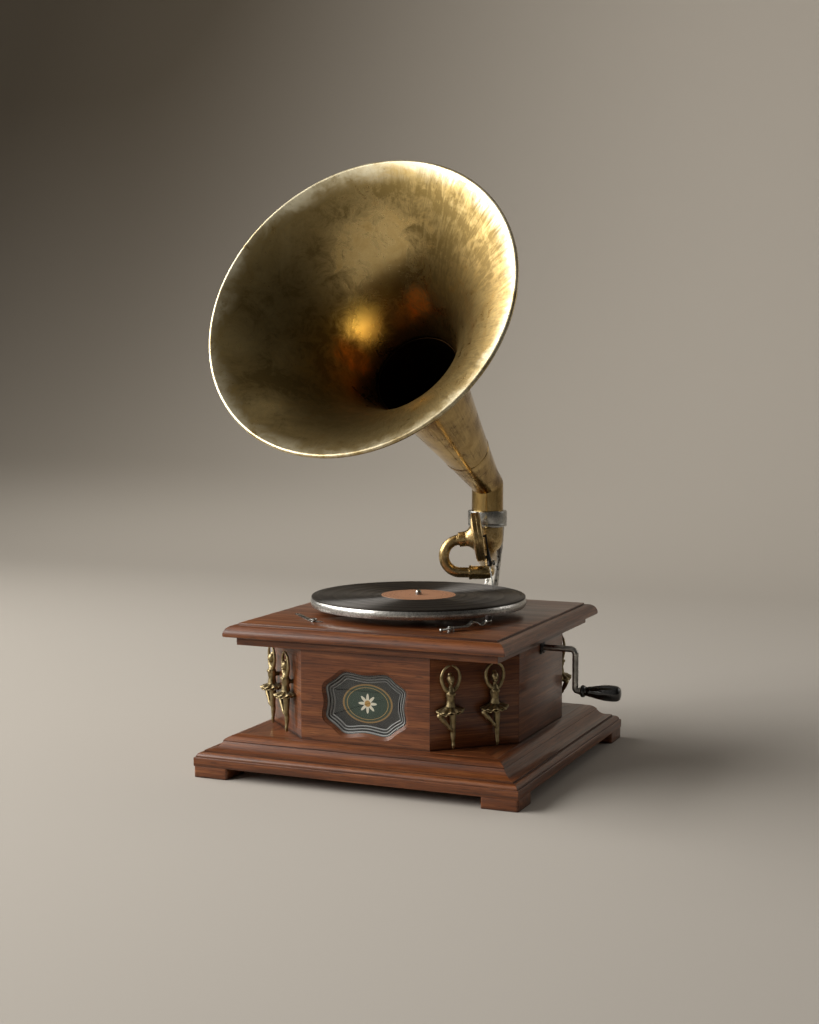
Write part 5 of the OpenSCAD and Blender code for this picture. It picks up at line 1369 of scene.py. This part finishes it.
def make_collar():
    collar_r, socket_r, bore_r = 25.2, HORN_TUBE_R + RUNNING_FIT, ROOT_R + RUNNING_FIT
    relief_r, relief_z, groove = 17.5, 5.5, 0.5
    profile = filleted([(bore_r, 0), (collar_r - 1.2, 0), (collar_r, 1.2), (collar_r, 3.4),
                        (collar_r - groove, 3.8), (collar_r - groove, 4.4), (collar_r, 4.8),
                        (collar_r, COLLAR_H - 1), (collar_r - 1, COLLAR_H), (socket_r, COLLAR_H),
                        (socket_r, SOCKET_FLOOR), (relief_r, SOCKET_FLOOR), (relief_r, relief_z),
                        (bore_r, relief_z)], 0.5, 2, True)
    collar = Form().add(turned(profile, 128, True), shift(0, PIVOT_Y, COLLAR_Z))
    piece("bracket_collar", collar, "case", "cast_silver", ["horn_bracket"], "nickel")


def make_bracket():
    make_collar()
    front_y, rear_y = PIVOT_Y + CUP_R + 2, PIVOT_Y + CUP_R + 10.5
    top_z, foot_y, mid = COLLAR_Z + COLLAR_H - 2, BOX_HALF + 6, FOOT_PLATE_MID
    steps, waist, waist_w = 24, mid + 78, 8.5
    rear = bezier((rear_y, top_z), (rear_y + 11, COLLAR_Z - 62), (PIVOT_Y + 8, mid - 9),
                  (foot_y, mid - 18), steps)
    front = bezier((front_y, top_z), (front_y + 11, COLLAR_Z - 87), (PIVOT_Y - 22, mid + 18),
                   (foot_y, mid + 18), steps)
    widths = bezier((13, COLLAR_Z + COLLAR_H), (13, COLLAR_Z - 20), (9, COLLAR_Z - 30),
                    (waist_w, waist), 12)
    widths += bezier((waist_w, waist), (8, waist - 40), (10, mid + 40), (15, mid - 20), 12)

    def half_width(z):
        for a, b in zip(widths, widths[1:]):
            if b.y <= z <= a.y and a.y > b.y:
                return a.x + (b.x - a.x) * (a.y - z) / (a.y - b.y)
        return widths[-1].x

    def squared(value):
        return math.copysign(abs(value) ** square, value)

    count, square = 40, 0.45
    rings = []
    for f, r in zip(front, rear):
        middle, reach = (f + r) / 2, (f - r) / 2
        width = half_width(middle.y)
        ring = []
        for angle in (360 * i / count for i in range(count)):
            x, d = squared(cos(angle)) * width, squared(sin(angle))
            ring.append(Vector((x, middle.x + reach.x * d, middle.y + reach.y * d)))
        rings.append(ring)
    casting = Form().add(capped(rings))
    outline = filleted(rectangle(FOOT_PLATE_W, FOOT_PLATE_H), 5, 6, True)
    foot = bevelled(plate(outline, 0, FOOT_PLATE_T), 1.2, 3, 50)
    casting.add(foot, shift(0, BOX_HALF + FOOT_PLATE_T, mid) @ turn("X", 90))
    piece("bracket_casting", casting, "case", "cast_silver", ["horn_bracket"])
    screw_head, sunk = slotted_head(4.2, 2.0), 0.2
    screws = Form()
    for x in (-1, 1):
        for z in (-1, 1):
            place = shift(x * (FOOT_PLATE_W / 2 - 8), BOX_HALF + FOOT_PLATE_T - sunk,
                          mid + z * (FOOT_PLATE_H / 2 - 9))
            screws.add(screw_head, place @ turn("X", -90) @ turn("Z", 35 * x + 20 * z))
    piece("bracket_screw_heads", screws, "case", "steel", ["bracket_screws"])


# Tone arm, gooseneck and soundbox

def make_tone_arm():
    root_bend, end_bend, sleeve = 26.0, 10.0, 20.0
    neck_top, flange_r, flange_t = COLLAR_LIFT + 5.6, 17, 3
    slim_y, end_y = -50.0, -ARM_L + end_bend
    first = filleted([(0, 0, neck_top + flange_t), (0, 0, 0), (0, slim_y, 0)], root_bend, 12)
    last = filleted([(0, slim_y, 0), (0, -ARM_L, 0), (-sleeve, -ARM_L, 0)], end_bend, 12)
    path = first[:-1] + [Vector((0, slim_y * 0.6, 0))] + last

    def radius(p):
        if p.y > -root_bend:
            return ROOT_R
        if p.y > slim_y:
            return ROOT_R + (ARM_MID_R - ROOT_R) * (p.y + root_bend) / (slim_y + root_bend)
        return ARM_MID_R + (ARM_END_R - ARM_MID_R) * min(1, (p.y - slim_y) / (end_y - slim_y))

    arm = Form().add(tube(path, [radius(p) for p in path], 48), ON_ARM)
    cup_top = COLLAR_LIFT - 0.3
    cup_low = cup_top - CUP_L
    cup = bezier((ROOT_R - 5, cup_low), (ROOT_R + 3, cup_low + 0.5),
                 (CUP_R, cup_top - CUP_L * 0.76), (CUP_R, cup_top - CUP_L * 0.4), 18)
    profile = [(0, cup_low), *cup, (CUP_R, cup_top - 0.8), (CUP_R - 0.8, cup_top), (0, cup_top)]
    arm.add(turned(profile, 96), ON_ARM)
    arm.add(turned(bar(flange_r, neck_top, neck_top + flange_t), 64), ON_ARM)
    bore_r, bead_r, bead_l, edge_r = GOOSE_R + 0.05, ARM_END_R + 0.6, 3.0, ARM_END_R + 0.4
    ring = filleted([(bore_r, -0.5), (edge_r, -0.5), (bead_r, 0.2), (bead_r, bead_l - 0.2),
                     (edge_r, bead_l), (bore_r, bead_l)], 0.5, 3, True)
    arm.add(turned(ring, 64, True), ON_ARM @ shift(-sleeve, -ARM_L, 0) @ turn("Y", -90))
    piece("curved_arm", arm, "arm", "arm_brass", ["tone_arm"])


def make_reproducer():
    sweep, start, steps = 180 - SOUNDBOX_TILT, -10.3, 36
    path = [(start + (-GOOSE_REACH - start) * k / 6, 0, 0) for k in range(6)]
    for angle in (sweep * k / steps for k in range(steps + 1)):
        path.append((-GOOSE_REACH - GOOSE_BEND * sin(angle), 0, GOOSE_BEND * (1 - cos(angle))))
    goose = Form().add(tube(path, GOOSE_R, 40), ON_GOOSE)
    ferrule_r, ferrule_l = GOOSE_R + 0.6, 6
    ferrule = filleted([(0, -1.4), (GOOSE_R - 0.3, -1.4), (ferrule_r, -0.8), (ferrule_r, ferrule_l),
                        (0, ferrule_l)], 0.4, 2)
    goose.add(turned(ferrule, 64), ON_GOOSE_END)
    piece("gooseneck_tube", goose, "reproducer", "arm_brass", ["gooseneck"])

    box_r, thick, recess_r, lip_r, channel_r, recess_d = 29.5, 11.0, 26.0, 22.8, 5, 1.5
    socket_r, socket_end = ferrule_r + 2.0, 1 + 11.5
    back = socket_end + 6.5
    face, split = back + thick, back + thick / 2
    recess, seat = split - recess_d, split + recess_d

    def soundbox_piece(name, profile, node, easing):
        turned_piece(name, filleted(profile, easing, 3, True), 128, "reproducer", "arm_brass",
                     node, ON_SOUNDBOX)

    soundbox_piece("soundbox_back", [
        (ferrule_r, 1), (socket_r, 1), (socket_r + 0.4, 9.4), (socket_r + 1.6, socket_end),
        (socket_r + 6.5, back - 1.5), (socket_r + 10, back - 1.0), (box_r - 3.4, back - 0.6),
        (box_r - 3.0, back), (box_r - 1, back), (box_r, back + 1), (box_r, split - 0.5),
        (box_r - 0.5, split - 0.1), (recess_r, split), (recess_r, recess), (channel_r, recess),
        (channel_r, ferrule_l), (ferrule_r, ferrule_l)], "soundbox_body", 0.4)
    soundbox_piece("soundbox_ring", [
        (recess_r, split), (box_r - 0.5, split + 0.1), (box_r, split + 0.5), (box_r, face - 1.4),
        (box_r - 1.4, face), (box_r - 3, face), (box_r - 3.2, face - 0.5),
        (box_r - 3.9, face - 0.5), (box_r - 4.1, face), (lip_r + 1, face), (lip_r, face - 1),
        (lip_r, seat), (recess_r, seat)], "soundbox_face", 0.3)
    low, high, mica_r = split - 0.2, split - 0.2 + 0.4, 25.8
    ripple = [(r, high + 0.12 * sin(r * 60)) for r in range(25, 0, -1)]
    profile = [(0, low), (mica_r, low), (mica_r, high), *ripple, (0, high)]
    turned_piece("mica_disc", profile, 96, "reproducer", "mica", "diaphragm", ON_SOUNDBOX, False)


# Winding handle

CRANK_X = 192.0
CRANK_THROW = 47.0
ROD_R = 3.5
GRIP_L = 46.0
GRIP_R = 9.4


def make_handle():
    inner_x, bend, collar_r, collar_t = 93.1, 6.0, ROD_R + 0.9, 2.2
    low = SHAFT_Z - CRANK_THROW
    grip_x = CRANK_X + bend + 1.2
    path = filleted([(inner_x, 0, SHAFT_Z), (CRANK_X, 0, SHAFT_Z), (CRANK_X, 0, low),
                     (grip_x - 0.4, 0, low)], bend, 14)
    rod = Form().add(tube(path, ROD_R, 32))
    rod.add(tube([(grip_x - 0.6, 0, low), (grip_x + GRIP_L - 4, 0, low)], ROD_R - 1, 24))
    shoulder = filleted(bar(collar_r, 0, collar_t), 0.5, 3)
    rod.add(turned(shoulder, 48), shift(grip_x - 2.4, 0, low) @ turn("Y", 90))
    piece("cranked_rod", rod, "crank", "steel", ["crank_rod"])

    bore_r, bore_l = 2.6, 40
    collar = ((4, 0), (3, 0.3), (2.6, 1), (2.5, 2.2), (2.7, 3.4), (3.4, 4.2), (4.3, 4.8), (4.4, 6),
              (4.1, 7.6))
    belly = bezier((GRIP_R - 3.6, 9), (GRIP_R - 2.4, GRIP_L * 0.4), (GRIP_R + 1.0, GRIP_L * 0.62),
                   (GRIP_R - 0.7, GRIP_L - 5), 20)
    end = ((1.3, 3), (2.9, 1.2), (6, 0.2))
    profile = [(0, bore_l), (bore_r, bore_l), (bore_r, 0), *[(GRIP_R - r, z) for r, z in collar],
               *belly, *[(GRIP_R - r, GRIP_L - z) for r, z in end], (0, GRIP_L)]
    turned_piece("turned_grip", profile, 72, "grip", "black_grip", "crank_grip",
                 shift(grip_x, 0, low) @ turn("Y", 90), False)

    on_plate = shift(BOX_HALF, 0, SHAFT_Z) @ turn("Y", 90)
    petal_r, rosette_r, rosette_t, hole_r, sleeve_r = 2.6, 6.8, 3.0, ROD_R + 0.05, 5.5
    boss = filleted([(hole_r, -PANEL_T), (sleeve_r, -PANEL_T), (sleeve_r, 0), (rosette_r - 0.6, 0),
                     (rosette_r - 0.6, 1.8), (ROD_R + 1.6, rosette_t), (hole_r, rosette_t)],
                    0.5, 3, True)
    turned_piece("rosette_boss", boss, 64, "case", "black_iron", "crank_escutcheon", on_plate)
    dome = [(0, 0), (petal_r, 0), (petal_r, 1.0), (petal_r * 0.8, 1.8), (petal_r * 0.4, 2.3),
            (0, 2.4)]
    repeated("rosette_petals", ring_tree("petals", "black_iron"), turned(dome, 24),
             on_plate @ turn("Z", 45), "case", "black_iron", ["crank_escutcheon"], Count=4,
             Radius=rosette_r * MM)


# Controls on the top board

def make_brake():
    pivot = shift(88, -119, DECK_Z) @ turn("Z", 55.7)
    length, blade_w, blade_t, lift, wave, boss_r = 49.6, 7.0, 2.0, 2.8, 4.2, 4.0
    pin_r, eye_r, knob_r, reach, pad_r = 2.5, 4, 2.2, 17.5, 3.2
    steps, flat = 48, length * 0.4
    ribbon = [(boss_r - 1, lift)]
    ribbon += [(flat + (length - flat) * k / steps, lift + wave / 2 * (1 - cos(540 * k / steps)))
               for k in range(steps + 1)]
    section = filleted([(-blade_w / 2, 0), (blade_w / 2, 0), (blade_w / 2, blade_t),
                        (-blade_w / 2, blade_t)], 0.5, 3, True)
    blade = capped([[Vector((x, q.x, z + q.y)) for q in section] for x, z in ribbon])
    brake = Form().add(blade, pivot)
    boss = filleted([(0, 0.1), (boss_r, 0.1), (boss_r, 4.8), (boss_r - 0.6, 5.2),
                     (boss_r - 1.2, 5.9), (0, 5.9)], 0.5, 3)
    brake.add(turned(boss, 64), pivot)
    brake.add(turned(bar(pin_r, -9, 1), 32), pivot)
    eye = filleted(bar(eye_r, 0, blade_t), 0.5, 3)
    brake.add(turned(eye, 48), pivot @ shift(length, 0, lift + wave))
    handle = pivot @ turn("Z", 201) @ shift(0, 0, lift + blade_t / 2)
    brake.add(tube([(boss_r - 1, 0, 0), (10, 0, 0), (reach, 0, 0)], [1.6, 1.3, 1.6], 20), handle)
    knob = [(knob_r * cos(a), knob_r * sin(a)) for a in range(-80, 90, 10)]
    brake.add(turned([(0, -knob_r), *knob, (0, knob_r)], 40), handle @ shift(reach, 0, 0))
    piece("brake_blade", brake, "brake", "nickel", ["brake_lever"])
    low, high = lift + wave + blade_t, PLATTER_LIFT + PLATTER_T / 2
    turned_piece("leather_pad", filleted(bar(pad_r, low, high), 0.6, 4), 48, "brake", "leather",
                 "brake_pad", pivot @ shift(length, 0, 0), False)


def make_speed_control():
    knob_place, far = Vector((-80, -114, 0)), Vector((-124, -68, 0))
    along = far - knob_place
    start, length, plate_w, plate_t = 8.0, along.length, 6.0, 0.4
    on_plate = (shift(knob_place.x, knob_place.y, DECK_Z)
                @ turn("Z", math.degrees(math.atan2(along.y, along.x))))
    outline = [(start, -plate_w / 2), *arc((length, 0), plate_w / 2, -90, 90, 20),
               (start, plate_w / 2)]
    scale = Form().add(bevelled(plate(outline, 0, plate_t), 0.25, 2, 50), on_plate)
    for x, angle in ((length, 30), (start + plate_w, 75)):
        scale.add(slotted_head(1.4, 0.4), on_plate @ shift(x, 0, plate_t) @ turn("Z", angle))
    piece("speed_scale", scale, "case", "nickel", ["speed_plate"])
    tick = bevelled(plate(rectangle(0.4, 2.4), 0, 0.12), 0.04, 1)
    repeated("speed_marks", row_tree("marks", "black_iron"), tick,
             on_plate @ shift(start + 15, 0, plate_t), "case", "black_iron", Count=11,
             Step=2.6 * MM)
    on_knob = shift(knob_place.x, knob_place.y, DECK_Z + 0.1)
    knob_r, stem_r, stem_z, cam_r, cam_t, cam_y = 4.2, 2.5, 101, 5, 4, 3
    profile = filleted([(0, 0), (knob_r - 0.6, 0), (knob_r - 0.6, 0.8), (knob_r - 1.5, 1.2),
                        (knob_r - 1.5, 1.5), (knob_r - 0.3, 1.9), (knob_r - 0.3, 3.1),
                        (knob_r - 1.4, 3.8), (0, 4.1)], 0.3, 2)
    knob = Form().add(turned(profile, 64), on_knob)
    pointer = [(0, -2.2), (11, -0.4), (11, 0.4), (0, 2.2)]
    knob.add(bevelled(plate(pointer, 0, 1.2), 0.2, 2), on_knob)
    stem_l = DECK_Z + 1 - stem_z
    knob.add(turned(bar(stem_r, 0, stem_l), 32), shift(knob_place.x, knob_place.y, stem_z))
    knob.add(turned(bar(cam_r, 0, cam_t), 48),
             shift(knob_place.x, knob_place.y + cam_y, stem_z + 1))
    piece("knob_and_pointer", knob, "speed_regulator", "nickel", ["speed_knob"])
    rib = tube([(0, 0, 2.1), (0, 0, 2.9)], 0.26, 8, True)
    repeated("knob_ribs", ring_tree("knurl", "nickel"), rib, on_knob, "speed_regulator", "nickel",
             Count=36, Radius=(knob_r - 0.25) * MM)


# Solids that are shown as they are

def dress_solids():
    slots = {part["node"]: part["material_slot"] for part in frame["record"]["subparts"]}
    for name, node in frame["nodes"].items():
        node.data.materials.clear()
        node.data.materials.append(FINISHES[slots[name]])


# Stage

def make_stage():
    half, front, bend_y, bend_r, height, columns = 9.0, -7.0, 1.5, 1.4, 6.0, 24
    line = [(front, 0.0), (0.0, 0.0), (bend_y, 0.0)]
    line += [(bend_y + bend_r * sin(a), bend_r * (1 - cos(a))) for a in range(6, 91, 6)]
    line += [(bend_y + bend_r, height)]
    row = columns + 1
    verts = [(-half + 2 * half * i / columns, y, z) for y, z in line for i in range(row)]
    corners = [r * row + i for r in range(len(line) - 1) for i in range(columns)]
    mesh = bpy.data.meshes.new("studio_sweep")
    mesh.from_pydata(verts, [], [(c, c + 1, c + row + 1, c + row) for c in corners])
    mesh.shade_smooth()
    f = Finish("studio_paper", Roughness=0.9, Specular_IOR_Level=0.1)
    x, y, z = f.parts(f.place())

    def eased(value, low, high, top=1.0, kind="SMOOTHSTEP"):
        return f.level(value, low, high, 0.0, top, kind)

    # Painted shade: the paper darkens near the left and towards the upper left, standing in for
    # light falling off; elsewhere it is evenly pale.
    painted_shade_left = f.times(eased(x, 0.4, -1.6), eased(y, 2.2, -0.4))
    rise = f.plus(eased(z, 0.0, 0.22, 0.42), eased(z, 0.1, 1.7, 0.46, "LINEAR"),
                  eased(y, 0.4, 1.4, 0.22))
    colour = f.mix(eased(y, 0.2, 2.4, kind="SMOOTHERSTEP"), "#bab4ac", "#bfb8ae")
    colour = f.mix(painted_shade_left, colour, "#9b958d")
    f.set(Base_Color=f.mix(f.times(eased(x, 0.1, -2.3), rise), colour, "#675f53"))
    f.clear_where(f.add("ShaderNodeNewGeometry").outputs["Backfacing"])
    mesh.materials.append(f.material)
    placed("studio_sweep", mesh)


def make_light():
    for name, place, target, width, height, power, colour in (
            ("key", (-2.0, -0.4, 1.4), (0, 0, 0.4), 2.2, 1.5, 70.0, (1.0, 0.98, 0.94)),
            ("front", (-2.1, -2.2, 1.5), (0, 0, 0.3), 1.4, 1.4, 52.0, (1.0, 0.97, 0.92)),
            ("edge", (1.7, 1.35, 1.0), (0, 0, 0.2), 1.0, 1.0, 4.0, (1.0, 0.97, 0.93))):
        data = bpy.data.lights.new(name, "AREA")
        data.shape, data.size, data.size_y = "RECTANGLE", width, height
        data.energy, data.color = power, colour
        lamp = placed(name, data)
        lamp.location = place
        aim = Vector(target) - Vector(place)
        lamp.rotation_euler = aim.to_track_quat("-Z", "Y").to_euler()
    world = bpy.data.worlds.new("studio")
    world.use_nodes = True
    t = Tree(world.node_tree)
    from_left = t.parts(t.add("ShaderNodeTexCoord").outputs["Generated"])["X"]
    left = t.add("ShaderNodeMapRange", {"Value": from_left, "From Min": 0.6, "From Max": -0.8,
                                        "To Min": 0.045, "To Max": 0.44}).outputs[0]
    seen = t.add("ShaderNodeLightPath").outputs["Is Camera Ray"]
    strength = t.add("ShaderNodeMix", {0: seen, 2: left, 3: 0.5}, data_type="FLOAT").outputs[0]
    ground = t.tree.nodes["Background"]
    ground.inputs["Color"].default_value = (1.0, 0.95, 0.88, 1)
    t.feed(ground.inputs["Strength"], strength)
    bpy.context.scene.world = world


def make_camera():
    data = bpy.data.cameras.new("camera")
    data.lens, data.sensor_width, data.sensor_fit = 57.79, 36.0, "AUTO"
    right, up = Vector((0.9196, 0.3928, 0.0)), Vector((-0.0334, 0.0783, 0.9964))
    back, stand = Vector((0.3914, -0.9163, 0.0851)), (0.73968, -1.75857, 0.45167)
    camera = placed("camera", data)
    camera.matrix_world = shift(*stand) @ Matrix((right, up, back)).transposed().to_4x4()
    bpy.context.scene.camera = camera


bpy.context.scene.view_settings.view_transform = "Standard"
for make in (dress_solids, make_plinth, make_panels, make_top, make_window, make_dancers,
             make_turntable, make_horn, make_bracket, make_tone_arm, make_reproducer, make_handle,
             make_brake, make_speed_control, make_stage, make_light, make_camera):
    make()
